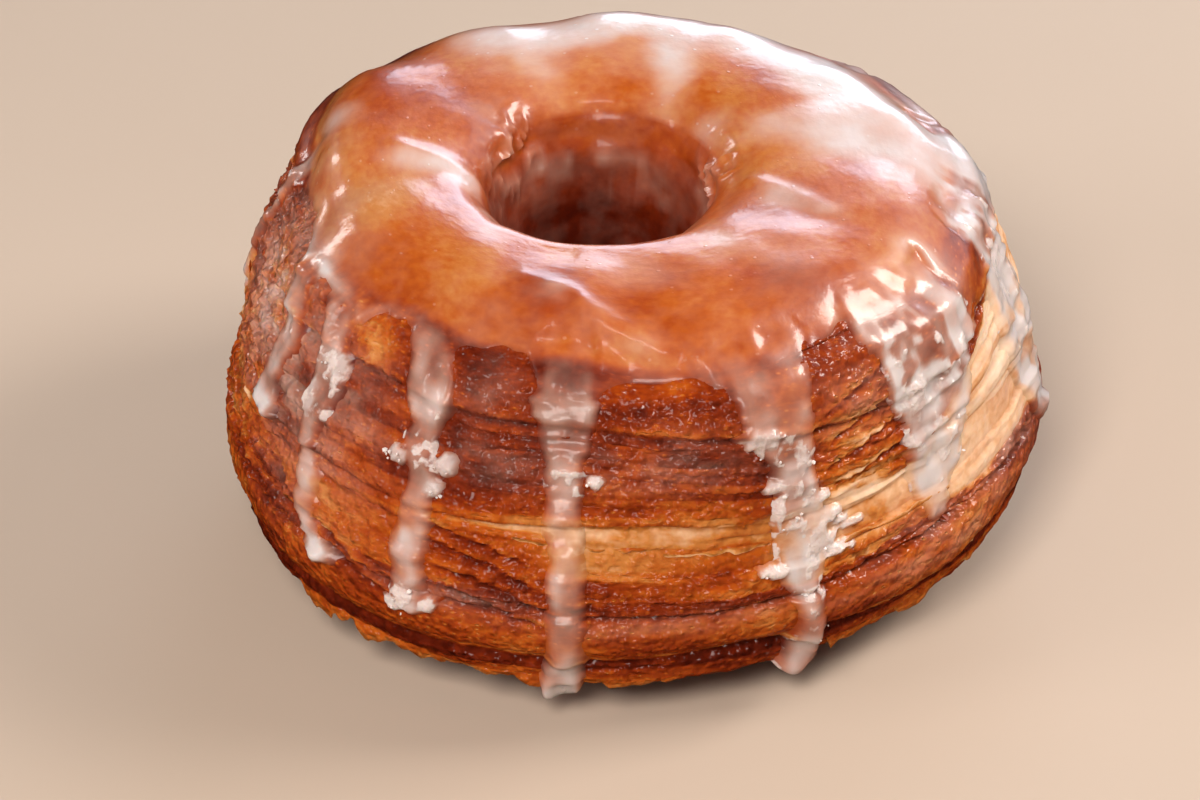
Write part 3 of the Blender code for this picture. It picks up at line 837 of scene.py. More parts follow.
class Glaze:
    """The glaze over a grid: how far inside its outline, how milky, thick and sugary."""

    def __init__(self, azimuth, distance):
        self.azimuth = np.broadcast_to(azimuth[:, None], distance.shape)
        self.distance = distance
        self.wall = Wall(azimuth, distance)
        self.smooth = place(self.azimuth, distance)
        self.skin = self.wall.skin
        self.pour()
        for number, run in enumerate(ALL_RUNS):
            self.add_run(number, run)
        for number, lump in enumerate(SUGAR_LUMPS):
            self.add_lump(number, *lump)

    def pour(self):
        """The cap over the top and down the hole."""
        border = np.array(GLAZE_BORDER)
        height = np.interp(self.azimuth, border[:, 0], border[:, 1], period=360.0)
        ragged = 0.60 * lumps(unrolled(self.azimuth, 0.0), 5.0, 61) + 0.45 * lumps(self.skin, 2.0, 60)
        above = self.distance - SHAPE.rise(height) + ragged
        deep = SHAPE.rim + GLAZE_DOWN_HOLE - self.distance + 1.5 * lumps(self.smooth, 5.0, 62)
        self.inside = np.minimum(above, deep)
        rim = near(self.azimuth, 205.0, 30.0)
        on_top = blend(-1.0, 7.0, above)
        self.thick = 0.30 + 0.35 * on_top + 0.45 * rim * hump(above, 1.0, 0.8)
        self.milk = veil_pattern(self.azimuth, self.smooth, self.skin, self.distance)
        self.milk = (self.milk + 0.55 * rim * hump(above, 0.8, 0.9)) * blend(-2.0, 1.0, above)
        self.sugar = np.zeros(self.distance.shape)

    def add_run(self, number, run):
        """One run, laid over what is there."""
        reach = SHAPE.rise(run[:, 0])
        middle, width, milk, thick, sugar = (
            np.interp(self.distance, reach, run[:, column]) for column in range(1, 6)
        )
        across = np.radians(apart(self.azimuth, middle)) * BELLY_RADIUS
        uneven = lumpy(self.skin, (0.30, 2.6, 63 + number), (0.22, 1.1, 83 + number))
        broad = blend(11.0, 16.0, width)
        half = 0.5 * width + uneven * blend(0.0, 3.0, width) * (1.0 + 1.6 * broad)
        past = np.clip(reach[0] + 0.4 * run[0, 2] - self.distance, 0.0, None)
        field = half - np.hypot(across, past)
        top = np.clip(self.distance - reach[-1], 0.0, None)
        field = field - 0.8 * top
        here = blend(-0.5, 0.9, field) * (1.0 - blend(0.0, 3.0, top))
        thin = blend(-0.3, 1.7, field)
        patchy = 0.82 + 0.50 * lumps(self.skin, 2.2, 103 + number)
        streaks = lumpy(self.skin, (1.0, (3, 3, 5), 223 + number), (0.7, 1.3, 243 + number))
        streaks = blend(0.0, 0.5, streaks)
        cloudy = 1.15 * milk * (0.15 + 0.85 * thin) * patchy * (1.0 + broad * (0.25 - 0.75 * streaks))
        cloudy = np.clip(cloudy, 0.0, 1.0)
        self.milk = mixed(self.milk, cloudy, here)
        dome = np.sqrt(np.clip(1.0 - (1.0 - np.clip(field / (0.8 + 0.5 * thick), 0.0, 1.0)) ** 2, 0.0, 1.0))
        bulk = thick * (1.0 + 0.7 * lumps(self.skin, 2.6, 163 + number))
        self.thick = mixed(self.thick, bulk * (0.30 + 0.70 * dome), here)
        spotty = lumpy(self.skin, (0.55, 2, 123 + number), (0.50, 0.8, 143 + number))
        covered = blend(0.50, 0.95, sugar + spotty) * np.minimum(1.0, 3.0 * sugar) * blend(-0.7, 0.0, field)
        self.sugar = np.maximum(self.sugar, covered)
        self.inside = soft_max(self.inside, field, WEB)

    def add_lump(self, number, azimuth, height, wide, tall, thick, cover):
        """One lump or flake of dried sugar, with a jagged edge."""
        across = np.radians(apart(self.azimuth, azimuth)) * BELLY_RADIUS
        along = self.distance - SHAPE.rise(height)
        jagged = lumpy(self.skin, (0.35, 1.2, 183 + number), (0.25, 0.6, 203 + number))
        field = (1.0 - np.hypot(across / wide, along / tall) + jagged) * min(wide, tall)
        here = blend(-0.2, 0.3, field)
        self.milk = mixed(self.milk, LUMP_MILK, here)
        self.thick = mixed(self.thick, thick, here)
        self.sugar = np.maximum(self.sugar, cover * here)
        self.inside = np.maximum(self.inside, field)


def rim_ridges(azimuth, distance, points):
    """Wriggling ridges of glaze on the left and right sides of the hole's mouth, from 0 to 1."""
    sides = near(azimuth, 145.0, 38.0) + near(azimuth, 8.0, 28.0)
    return crinkles(points, 2.9, 69) * sides * hump(distance, SHAPE.rim + 2.5, 4.5)


def veil_pattern(azimuth, points, skin, distance):
    """Milkiness of the glaze on the top and down the hole, in soft patches, some of them painted reflection
    and painted highlights.
    """
    patches = 0.5 + lumpy(points, (0.5, (13, 11, 30), 71), (0.25, (5, 4, 30), 72))
    streaky = lumpy(points, (0.26, (8, 3.4, 30), 75), (0.16, (3, 2, 30), 76))
    # Milk and painted reflection in patches on the top
    veil = top_spots(points, MILK_AND_REFLECTION_PATCHES) * (points[..., 2] > TOP_LEVEL)
    veil = np.clip(veil, 0.0, 0.90) * (0.40 + 0.60 * blend(0.22, 0.50, veil + streaky))
    veil = veil * (0.94 + 0.5 * streaky) + 0.22 * blend(0.50, 0.85, patches) * (1.0 - veil)
    swirls = crinkles(points, 5.0, 73) * blend(-0.5, 0.3, lumps(points, 5.0, 77))
    drips = blend(0.1, 0.8, lumps(skin, (6.0, 6.0, 25.0), 74))
    depth = distance - SHAPE.rim
    band = blend(3.5, 5.5, depth) * (1.0 - blend(7.5, 13.0, depth))
    inside = 0.02 + (0.06 + 0.36 * swirls + 0.10 * drips) * band
    # The ridges on the hole's sides are painted milkier, a painted highlight for their glints
    inside = inside + 0.5 * rim_ridges(azimuth, distance, points)
    return mixed(veil, inside, blend(-0.4, 0.6, depth))


def top_waves(points, lumpiness):
    """The gentle waves and ridges of the top's glaze."""
    wavy = lumpy(points, (0.30, (12, 9, 20), 67), (0.07, (4.2, 3.8, 12), 68))
    for start, end, half_width, height in RIDGES:
        start, end = np.array(start), np.array(end)
        run = end - start
        offset = points[..., :2] - start
        share = np.clip((offset @ run) / (run @ run), 0.0, 1.0)
        away = np.linalg.norm(offset - share[..., None] * run, axis=-1)
        wavy = wavy + height * hump(away, 0.0, half_width) * (points[..., 2] > TOP_LEVEL)
    return wavy * lumpiness


def hole_lip(azimuth, distance):
    """The crisp lip at the front of the hole, the swell on its right and the ledge inside it."""
    inward = distance - SHAPE.rim
    level = HEIGHT - 0.45 + 0.05 * np.clip(inward + 9.0, 0.0, 6.0)
    filled = np.clip(level - SHAPE.at(distance)[1], 0.0, 1.2) * (1.0 - blend(-6.5, -3.0, inward))
    filled = filled * blend(-11.0, -8.0, inward)
    gaps = 0.6 * near(azimuth, 224.0, 12.0) + 0.6 * near(azimuth, 305.0, 14.0)
    front = near(azimuth, 262.0, 80.0) * (1.0 - gaps)
    swell_right = 0.6 * near(azimuth, 10.0, 45.0) * hump(inward, -7.5, 6.0)
    ledge = 0.45 * near(azimuth, 95.0, 70.0) * hump(inward, 5.0, 1.3)
    return filled * front + swell_right + ledge


def glaze_rows():
    """Distances of the glaze's mesh rows, close together on the wall and its edge."""
    lowest = min(SHAPE.rise(run[0, 0]) - 0.5 * run[0, 2] for run in ALL_RUNS) - 1.5
    end = SHAPE.rim + GLAZE_DOWN_HOLE + 3.0
    stops = (lowest, SHAPE.wall - 3.0, SHAPE.wall + 4.0, SHAPE.rim - 3.0, SHAPE.rim + 4.0, end)
    return np.concatenate([np.arange(*part) for part in zip(stops, stops[1:], GLAZE_ROW_STEPS)])


def make_glaze(settings, dough):
    """The poured glaze: the cap over the top and down the hole, and its runs, as one closed shell."""
    azimuth = glaze_columns()
    rows = glaze_rows()
    distance = np.broadcast_to(rows, (len(azimuth), len(rows)))
    glaze = Glaze(azimuth, distance)
    turn = azimuth[:, None]
    covered = np.clip(glaze.inside, 0.0, None)
    bare = 1.0 - blend(SHAPE.wall - 3.0, SHAPE.wall, distance)
    sunk = hollows(turn, distance) - under_glaze(distance)
    rough = wall_lift(glaze.wall, dough.groove_depth, dough.blister_height) * bare + sunk
    relief = wall_lift(glaze.wall, groove=0.22, blister=0.05) * bare + sunk
    body = glaze.thick * (1.0 + 0.2 * lumps(glaze.smooth, 4.0, 64)) * settings.thickness
    body = body * (1.0 - np.exp(-covered / 0.5)) + 1.2 * np.minimum(glaze.inside, 0.0)
    plates = blend(-0.10, 0.15, lumps(glaze.skin, 2.0, 65)) + blend(0.05, 0.25, lumps(glaze.skin, 1.2, 66))
    on_top = blend(SHAPE.wall - 2.0, SHAPE.wall + 6.0, distance)
    body = body + 0.16 * glaze.sugar * plates + on_top * top_waves(glaze.smooth, settings.lumpiness)
    hole, uneven = down_hole(glaze.smooth, distance)
    body = body + hole_lip(turn, distance) + 1.2 * rim_ridges(turn, distance, glaze.smooth) + uneven
    film = rough + (0.14 + 0.3 * hole) * (1.0 - np.exp(-covered / 0.3))
    top = np.where(glaze.inside > 0.0, np.maximum(relief + body, film), relief + body)
    outer = place(turn, distance, top)
    inner = place(turn, distance, np.minimum(top, relief) - SHELL_DEPTH)
    pairs = np.maximum(glaze.inside[:, :-1], glaze.inside[:, 1:])
    kept = np.maximum(pairs, np.roll(pairs, -1, 0)) > -SHELL_MARGIN
    fields = {
        "browning": browning(glaze.wall, glaze.smooth),
        "layered": 1.0 - blend(SHAPE.wall - 1.0, SHAPE.wall + 1.0, distance),
        "veil": np.clip(glaze.milk, 0.0, 1.0),
        "sugar": glaze.sugar * (0.40 + 0.35 * plates),
        "grain": grain_of(glaze.wall, outer),
    }
    both = np.concatenate([outer.reshape(-1, 3), inner.reshape(-1, 3)])
    doubled = [np.concatenate([value.reshape(distance.size, -1)] * 2) for value in fields.values()]
    points, faces, values = drop_unused(both, shell_faces(kept), *doubled)
    piece = new_piece("glaze", points, faces, smooth_angle=75.0)
    store(piece, **dict(zip(fields, values)))
    return piece


# ---- dried sugar

SUGAR_GRAINS = 34
SUGAR_SEED = 7
SUGAR_TRIES = 60  # places drawn for each grain that is kept
SUGAR_FRONT = (200.0, 330.0)  # azimuths with more grains
SUGAR_HEIGHTS = (7.0, 42.0)
SUGAR_RADII = (0.10, 0.28)  # mm
# Loose clusters beside the runs: azimuth, height, spread in mm, grains
SUGAR_CLUSTERS = [
    (241.4, 28.8, 0.6, 4), (234.6, 31.6, 0.8, 4), (264, 32.6, 0.5, 3),
]


def grain_shape():
    """A unit icosahedron's points and faces."""
    golden = (1.0 + math.sqrt(5.0)) / 2.0
    points = []
    for one in (-1.0, 1.0):
        for other in (-golden, golden):
            points += [(0.0, one, other), (one, other, 0.0), (other, 0.0, one)]
    points = np.array(points) / math.hypot(1.0, golden)
    pairs = np.linalg.norm(points[:, None] - points[None], axis=-1)
    joined = (pairs > 0.1) & (pairs < 1.2)
    faces = []
    for a, b, c in combinations(range(len(points)), 3):
        if joined[a, b] and joined[b, c] and joined[a, c]:
            turn = np.cross(points[b] - points[a], points[c] - points[a]) @ points[a]
            faces.append((a, b, c) if turn > 0 else (a, c, b))
    return points, np.array(faces)


def make_sugar(settings):
    """Grains and crumbs of dried sugar on the runs."""
    draw = np.random.default_rng(SUGAR_SEED)
    azimuth, height = np.empty(0), np.empty(0)
    for turns in (SUGAR_FRONT, (0.0, 360.0)):
        azimuth = np.append(azimuth, draw.uniform(*turns, SUGAR_TRIES * SUGAR_GRAINS))
        height = np.append(height, draw.uniform(*SUGAR_HEIGHTS, SUGAR_TRIES * SUGAR_GRAINS))
    distance = SHAPE.rise(height)
    glaze = Glaze(azimuth, distance[:, None])
    chosen = np.nonzero(glaze.sugar[:, 0] > 0.55)[0]
    chosen = draw.permutation(chosen)[:SUGAR_GRAINS]
    spots = [(azimuth[index], distance[index]) for index in chosen]
    for middle, level, spread, count in SUGAR_CLUSTERS:
        turn = np.degrees(draw.normal(0.0, spread, count) / BELLY_RADIUS)
        rise = draw.normal(0.0, spread, count)
        spots += list(zip(middle + turn, SHAPE.rise(level) + rise))
    azimuth, distance = np.array(spots).T
    glaze = Glaze(azimuth, distance[:, None])
    relief = wall_lift(glaze.wall, groove=0.55, blister=0.12)
    lift = relief + np.where(glaze.inside > 0.0, glaze.thick, 0.0) + 0.5 * glaze.sugar
    middles = place(azimuth[:, None], distance[:, None], lift)[:, 0]
    points, faces = grain_shape()
    size = draw.lognormal(math.log(settings.grain_size / 2.0), 0.35, len(spots))
    size = np.clip(size, *SUGAR_RADII)
    stretch = draw.uniform(0.65, 1.35, (len(spots), 1, 3))
    bent = points[None] * stretch * (1.0 + draw.uniform(-0.25, 0.25, (len(spots), len(points), 1)))
    grains = middles[:, None] + bent * size[:, None, None]
    numbers = (np.arange(len(spots)) * len(points))[:, None, None] + faces[None]
    faces = numbers.reshape(-1, 3).tolist()
    return new_piece("dried_sugar", grains.reshape(-1, 3), faces, smooth_angle=35.0)


# ---- flakes

# Thin flakes that have lifted off: azimuths and heights of both ends, width, how steeply they
# lift, which way they reach (1 up, -1 down), how browned
FLAKES = [
    (252, 276, 26, 24.6, 0.7, 30, -1, 0.44), (274, 291, 24.4, 23.4, 0.8, 30, -1, 0.42),
    (214, 263, 8.6, 7.2, 2.4, 26, -1, 0.52), (264, 288, 7.6, 7.8, 1.8, 24, -1, 0.52),
    (300, 330, 7.6, 8.8, 2.4, 28, -1, 0.5), (302, 322, 20.5, 21, 1.2, 35, 1, 0.42),
    (20, 60, 28.5, 27, 1.2, 35, -1, 0.45), (70, 112, 20.5, 21.5, 1.3, 35, 1, 0.46),
    (40, 95, 7.6, 6.8, 2, 20, -1, 0.7), (130, 180, 8.4, 7.2, 2, 20, -1, 0.7),
    (150, 176, 30.5, 29, 1, 35, 1, 0.55),
]
FLAKE_THICKNESS = 0.2
FLAKE_COLUMN = 0.45  # mm between columns of a flake's mesh
# Round a flake's edge: share of its width, side of its thickness, and how much browner it is
FLAKE_SECTION = [
    (0, -1, 0.10), (0.45, -1, 0), (0.85, -0.8, -0.08), (1, 0, -0.14),
    (0.85, 0.8, -0.08), (0.45, 1, 0), (0, 1, 0.10),
]


def make_flakes():
    """Thin, torn edges of dough that stand off the wall, as one piece of closed ribbons."""
    all_points, all_faces, all_brown = [], [], []
    rows = len(FLAKE_SECTION)
    shade = np.array([browner for _, _, browner in FLAKE_SECTION])
    count = 0
    for number, (start, end, low, high, width, steep, way, brown) in enumerate(FLAKES):
        columns = int(math.radians(end - start) * BELLY_RADIUS / FLAKE_COLUMN)
        share = np.linspace(0.0, 1.0, columns)
        azimuth = mixed(start, end, share)
        spots = unrolled(azimuth, 30.0 * number)
        wave = lumpy(spots, (0.5, 6, 161), (0.25, 2, 162))
        root = SHAPE.rise(mixed(low, high, share)) + 0.6 * wave
        torn = 0.75 + lumpy(spots, (0.55, 2.4, 163), (0.35, 0.9, 164))
        reach = width * np.clip(torn, 0.15, 1.6) * np.clip(24.0 * share * (1.0 - share), 0.0, 1.0) ** 0.5
        rise = np.radians(steep + 18.0 * lumps(spots, 4.0, 165))
        stand = wall_lift(Wall(azimuth, root[:, None]), groove=0.3, blister=0.05)[:, 0] - 0.25
        ring = []
        for along, side, _ in FLAKE_SECTION:
            distance = root + way * reach * along * np.cos(rise)
            curl = reach * along * np.sin(rise) * (1.15 - 0.3 * along)
            ring.append(place(azimuth, distance, stand + curl + side * 0.5 * FLAKE_THICKNESS))
        corner = count + np.arange((columns - 1) * rows).reshape(-1, rows)
        beside = np.roll(corner, -1, axis=1)
        quads = np.stack([corner, beside, beside + rows, corner + rows], axis=-1).reshape(-1, 4)
        last = count + (columns - 1) * rows
        all_faces += quads[:, way * np.arange(4) % 4].tolist()
        all_faces += [list(range(count, count + rows))[::-way], list(range(last, last + rows))[::way]]
        all_brown.append(np.clip(brown + shade + 0.08 * wave[:, None], 0.0, 1.0).reshape(-1))
        all_points.append(np.stack(ring, axis=1).reshape(-1, 3))
        count += columns * rows
    points = np.concatenate(all_points)
    piece = new_piece("flakes", points, all_faces, smooth_angle=60.0)
    flat = np.zeros(count)
    store(piece, browning=np.concatenate(all_brown), layered=flat + 1.0, veil=flat, grain=points)
    return piece


# ---- materials


def linear(hex_colour):
    """An sRGB hex colour as linear red, green, blue and alpha."""
    parts = [int(hex_colour[index : index + 2], 16) / 255.0 for index in (1, 3, 5)]
    straight = [part / 12.92 if part <= 0.04045 else ((part + 0.055) / 1.055) ** 2.4 for part in parts]
    return (*straight, 1.0)


def add_node(tree, kind, *inputs, output=0, **settings):
    """Adds one node with its settings and gives one of its outputs.

    The inputs are values or sockets, in order, or in a dictionary by name or number.
    """
    node = tree.nodes.new("ShaderNode" + kind)
    for name, value in settings.items():
        setattr(node, name, value)
    by_socket = inputs[0] if inputs and isinstance(inputs[0], dict) else dict(enumerate(inputs))
    for socket, value in by_socket.items():
        if isinstance(value, bpy.types.NodeSocket):
            tree.links.new(value, node.inputs[socket])
        else:
            node.inputs[socket].default_value = value
    return node.outputs[output] if node.outputs else None


def new_material(name):
    """An empty node material, and the function that adds a node to it."""
    material = bpy.data.materials.new(name)
    material.use_nodes = True
    material.node_tree.nodes.clear()
    return material, partial(add_node, material.node_tree)


# Colours of fried dough as it browns, from crumb to burnt
BROWNING_STEPS = [
    (0.00, "#F8E0C6"), (0.18, "#EFC49C"), (0.34, "#CD8440"), (0.48, "#BC5C18"),
    (0.60, "#A4420E"), (0.74, "#842C0A"), (0.88, "#661D08"), (1.00, "#4A1206"),
]
MILK_THIN = "#DFB7A3"
MILK_THICK = "#E0D7D6"
SUGAR_WHITE = "#E8DCD9"


def fill_ramp(ramp, steps):
    """Sets a colour ramp's stops from positions and hex colours."""
    ramp.elements.remove(ramp.elements[-1])
    for number, (position, colour) in enumerate(steps):
        stop = ramp.elements.new(position) if number else ramp.elements[0]
        stop.position = position
        stop.color = linear(colour)


def dough_colour(add):
    """The browning of the dough with its streaks and blisters, whose paleness is partly a painted
    highlight: a colour, a value, grain and beads.
    """
    grain = add("Attribute", attribute_name="grain", output="Vector")
    layered = add("Attribute", attribute_name="layered", output="Fac")
    browned = add("Attribute", attribute_name="browning", output="Fac")
    # Scales are lumps to the millimetre: streaks over 2 mm long round the ring and under 1 mm high
    along = add("Mapping", {"Vector": grain, "Scale": (0.45, 0.45, 1.2)})
    flat = add("Mapping", {"Vector": grain, "Scale": (0.55, 0.55, 1.0)})
    streaks = add("Math", add("TexNoise", {"Vector": along, "Scale": 1.0}), 0.5, operation="SUBTRACT")
    specks = add("Math", add("TexNoise", {"Vector": grain, "Scale": 0.8}), 0.5, operation="SUBTRACT")
    # Thin wriggling lines about 1 mm apart, as on a crinkled crust
    wriggle = add("TexNoise", {"Vector": flat, "Scale": 0.85, "Detail": 1.5})
    wriggle = add("Math", add("Math", wriggle, 0.5, operation="SUBTRACT"), operation="ABSOLUTE")
    wriggle = add("Math", wriggle, -8.0, 1.0, operation="MULTIPLY_ADD", use_clamp=True)
    ridges = add("Math", wriggle, layered, operation="MULTIPLY")
    strength = add("Math", layered, 0.16, operation="MULTIPLY")
    brown = add("Math", streaks, strength, browned, operation="MULTIPLY_ADD")
    brown = add("Math", specks, 0.22, brown, operation="MULTIPLY_ADD")
    brown = add("Math", ridges, -0.06, brown, operation="MULTIPLY_ADD")
    # Blisters half a millimetre wide, only on well browned crust, are painted paler: partly paler crust,
    # partly a painted highlight
    blister = add("TexVoronoi", {"Vector": flat, "Scale": 2.0}, output="Distance")
    few = add("SeparateColor", blister.node.outputs["Color"])
    bead = add("MapRange", blister, 0.12, 0.42, 1.0, 0.0)
    chosen = add("MapRange", few, 0.55, 0.75, 0.0, 1.0)
    crusty = add("MapRange", browned, 0.50, 0.62, 0.0, 1.0)
    unburnt = add("MapRange", browned, 0.80, 0.90, 1.0, 0.1)
    for share in (chosen, crusty, unburnt, layered):
        bead = add("Math", bead, share, operation="MULTIPLY")
    brown = add("Math", bead, -0.22, brown, operation="MULTIPLY_ADD")
    colour = add("ValToRGB", brown)
    fill_ramp(colour.node.color_ramp, BROWNING_STEPS)
    return colour, brown, grain, bead


def veiled(add, colour, milkiness, milk_colour):
    """A colour seen through glaze: warm where the glaze is thin, pale and opaque where thick."""
    share = add("MapRange", milkiness, 0.35, 0.90, 0.0, 1.0)
    ends = {0: share, 6: linear(MILK_THIN), 7: milk_colour}
    milk = add("Mix", ends, output=2, data_type="RGBA")
    return add("Mix", {0: milkiness, 6: colour, 7: milk}, output=2, data_type="RGBA")


def fried_dough_material(milk_colour):
    """Laminated dough, fried: dry pale crumb where it split, oily blistered crust where browned."""
    material, add = new_material("fried laminated dough")
    colour, brown, grain, bead = dough_colour(add)
    crust = add("MapRange", brown, 0.32, 0.48, 0.0, 1.0)
    # Rounded blisters just under 1 mm wide, on uneven ground of a little over 1 mm
    cells = {"Vector": grain, "Scale": 1.1, "Smoothness": 0.6}
    rounded = add("TexVoronoi", cells, output="Distance", feature="SMOOTH_F1")
    rounded = add("Math", add("Math", 1.0, rounded, operation="SUBTRACT"), crust, operation="MULTIPLY")
    uneven = add("TexNoise", {"Vector": grain, "Scale": 0.8, "Detail": 1.0})
    relief = add("Math", uneven, 0.7, rounded, operation="MULTIPLY_ADD")
    relief = add("Math", bead, 0.18, relief, operation="MULTIPLY_ADD")
    bump = add("Bump", {"Strength": 1.0, "Distance": 0.00045, "Height": relief})
    film = add("Attribute", attribute_name="veil", output="Fac")
    surface = {
        "Base Color": veiled(add, colour, film, milk_colour),
        "Roughness": add("MapRange", crust, 0.0, 1.0, 0.60, 0.40),
        "IOR": 1.4,
        "Specular IOR Level": 0.12,
        "Coat Weight": add("MapRange", brown, 0.32, 0.48, 0.05, 0.75),
        "Coat Roughness": 0.14,
        "Normal": bump,
        "Coat Normal": bump,
        "Subsurface Weight": 0.12,
        "Subsurface Radius": (1.0, 0.35, 0.12),
        "Subsurface Scale": 0.0015,
    }
    add("OutputMaterial", add("BsdfPrincipled", surface))
    return material


def sugar_glaze_material(settings):
    """Sugar glaze, poured and half set: the dough shows through where thin, milky where thick."""
    material, add = new_material("sugar glaze")
    colour, _, grain, _ = dough_colour(add)
    browned = add("Attribute", attribute_name="browning", output="Fac")
    # Clouds of half-set glaze about 3 mm wide
    cloud = add("TexNoise", {"Vector": grain, "Scale": 0.35, "Detail": 3.0})
    cloud = add("MapRange", cloud, 0.25, 0.75, -0.07, 0.07)
    veil = add("Attribute", attribute_name="veil", output="Fac")
    milkiness = add("Math", veil, cloud, operation="ADD", use_clamp=True)
    # Trapped bubbles about 1 mm apart, under half a millimetre wide
    cell = add("TexVoronoi", {"Vector": grain, "Scale": 0.8}, output="Distance")
    few = add("SeparateColor", cell.node.outputs["Color"])
    bubble = add("MapRange", cell, 0.10, 0.22, 1.0, 0.0)
    chosen = add("MapRange", few, 0.80, 0.86, 0.0, 1.0)
    golden = add("MapRange", browned, 0.52, 0.60, 1.0, 0.0)
    for share in (chosen, golden):
        bubble = add("Math", bubble, share, operation="MULTIPLY")
    milkiness = add("Math", bubble, 0.22, milkiness, operation="MULTIPLY_ADD")
    milky = veiled(add, colour, milkiness, settings.milk_colour)
    # Dried sugar breaks up in patches under 1 mm wide
    patchy = add("TexNoise", {"Vector": grain, "Scale": 1.2, "Detail": 3.0, "Roughness": 0.6})
    patchy = add("Math", patchy, 0.5, operation="SUBTRACT")
    crust = add("Attribute", attribute_name="sugar", output="Fac")
    sugar = add("Math", patchy, 0.9, crust, operation="MULTIPLY_ADD")
    sugar = add("MapRange", sugar, 0.40, 0.74, 0.0, 0.85)
    whitened = add("Mix", {0: sugar, 6: milky, 7: linear(SUGAR_WHITE)}, output=2, data_type="RGBA")
    ripples = add("Math", bubble, 0.35, operation="MULTIPLY")
    smooth = add("TexNoise", {"Vector": grain, "Scale": 0.8})
    ripples = add("Math", smooth, 0.5, ripples, operation="MULTIPLY_ADD")
    crumbly = add("Math", add("TexNoise", {"Vector": grain, "Scale": 1.6}), 4.0, operation="MULTIPLY")
    ripples = add("Math", sugar, crumbly, ripples, operation="MULTIPLY_ADD")
    bump = add("Bump", {"Strength": 0.25, "Distance": 0.0003, "Height": ripples})
    surface = {
        "Base Color": whitened,
        "Roughness": add("MapRange", sugar, 0.0, 1.0, 0.40, 0.50),
        "IOR": 1.47,
        "Specular IOR Level": 0.7,
        "Coat Weight": 0.75,
        "Coat Roughness": settings.shine_roughness,
        "Coat IOR": 1.5,
        "Normal": bump,
        "Coat Normal": bump,
        "Subsurface Weight": 0.18,
        "Subsurface Radius": (1.0, 0.55, 0.35),
        "Subsurface Scale": 0.0014,
    }
    add("OutputMaterial", add("BsdfPrincipled", surface))
    return material


def dried_sugar_material():
    """Sugar dried to opaque white grains, with a slight sparkle."""
    material, add = new_material("dried sugar")
    # The mesh is in metres: 0.9 to the millimetre is speckle about 1 mm wide
    speckle = add("TexNoise", {"Vector": add("TexCoord", output="Object"), "Scale": 0.9 / MM})
    tints = {0: speckle, 6: linear("#E9DAD6"), 7: linear("#FAF4F2")}
    surface = {
        "Base Color": add("Mix", tints, output=2, data_type="RGBA"),
        "Roughness": 0.35,
        "IOR": 1.5,
        "Coat Weight": 0.5,
        "Coat Roughness": 0.1,
        "Subsurface Weight": 0.4,
        "Subsurface Radius": (1.0, 0.8, 0.7),
        "Subsurface Scale": 0.0008,
    }
    add("OutputMaterial", add("BsdfPrincipled", surface))
    return material


# ---- stage and camera

# The photograph's camera
CAMERA_ELEVATION = 36.8073  # how far above level it stands
CAMERA_DISTANCE = 426.36
CAMERA_AIM = (-3.1948, 0.0, 13.0571)
CAMERA_ROLL = -0.779
CAMERA_LENS = 110.172
CAMERA_SENSOR = 36.0

# Lamps: name, azimuth, elevation, distance in metres, width and height in metres, radiance,
# colour, and whether the lamp lights the dough, glints on the glaze, or both
LAMPS = [
    ("window", 75.0, 15.0, 0.75, 0.46, 0.32, 4.2, "#E2ECFF", "both"),
    ("window_top", 78.0, 28.5, 0.75, 0.20, 0.10, 3.8, "#DDE9FF", "both"),
    ("window_glow", 52.0, 26.0, 0.80, 0.60, 0.40, 0.8, "#EEF2FF", "both"),
    ("key", 8.0, 40.0, 0.75, 0.28, 0.28, 15.5, "#FFF3EA", "both"),
    ("front", 252.0, 50.0, 0.80, 0.26, 0.26, 24.0, "#FFF3EA", "light"),
    ("glint", 262.0, 14.0, 0.80, 0.34, 0.26, 6.0, "#FFF6F0", "glint"),
    ("left", 196.0, 26.0, 0.80, 0.26, 0.26, 7.0, "#FFF5F2", "light"),
    ("left_glint", 196.0, 24.0, 0.80, 0.035, 0.18, 12.0, "#FFF8F5", "glint"),
    ("hole_glint", 137.0, 19.0, 0.80, 0.09, 0.16, 9.0, "#FFF8F5", "glint"),
    ("shoulder_glint", 268.0, 57.0, 0.80, 0.16, 0.045, 10.0, "#FFF8F5", "glint"),
]


def make_camera():
    """A camera at the photograph's angle, aimed by its elevation, distance and roll."""
    camera = bpy.data.objects.new("camera", bpy.data.cameras.new("camera"))
    bpy.context.scene.collection.objects.link(camera)
    camera.data.lens = CAMERA_LENS
    camera.data.sensor_width = CAMERA_SENSOR
    camera.data.clip_start = 0.01
    camera.data.clip_end = 20.0
    elevation = math.radians(CAMERA_ELEVATION)
    aim = Vector((CAMERA_AIM[0] - BOX_CENTRE[0], CAMERA_AIM[1] - BOX_CENTRE[1], CAMERA_AIM[2]))
    back = Vector((0.0, -math.cos(elevation), math.sin(elevation)))
    tilt = Matrix.Rotation(math.pi / 2 - elevation, 4, "X")
    roll = Matrix.Rotation(math.radians(CAMERA_ROLL), 4, "Z")
    camera.matrix_world = Matrix.Translation((aim + back * CAMERA_DISTANCE) * MM) @ tilt @ roll
    bpy.context.scene.camera = camera


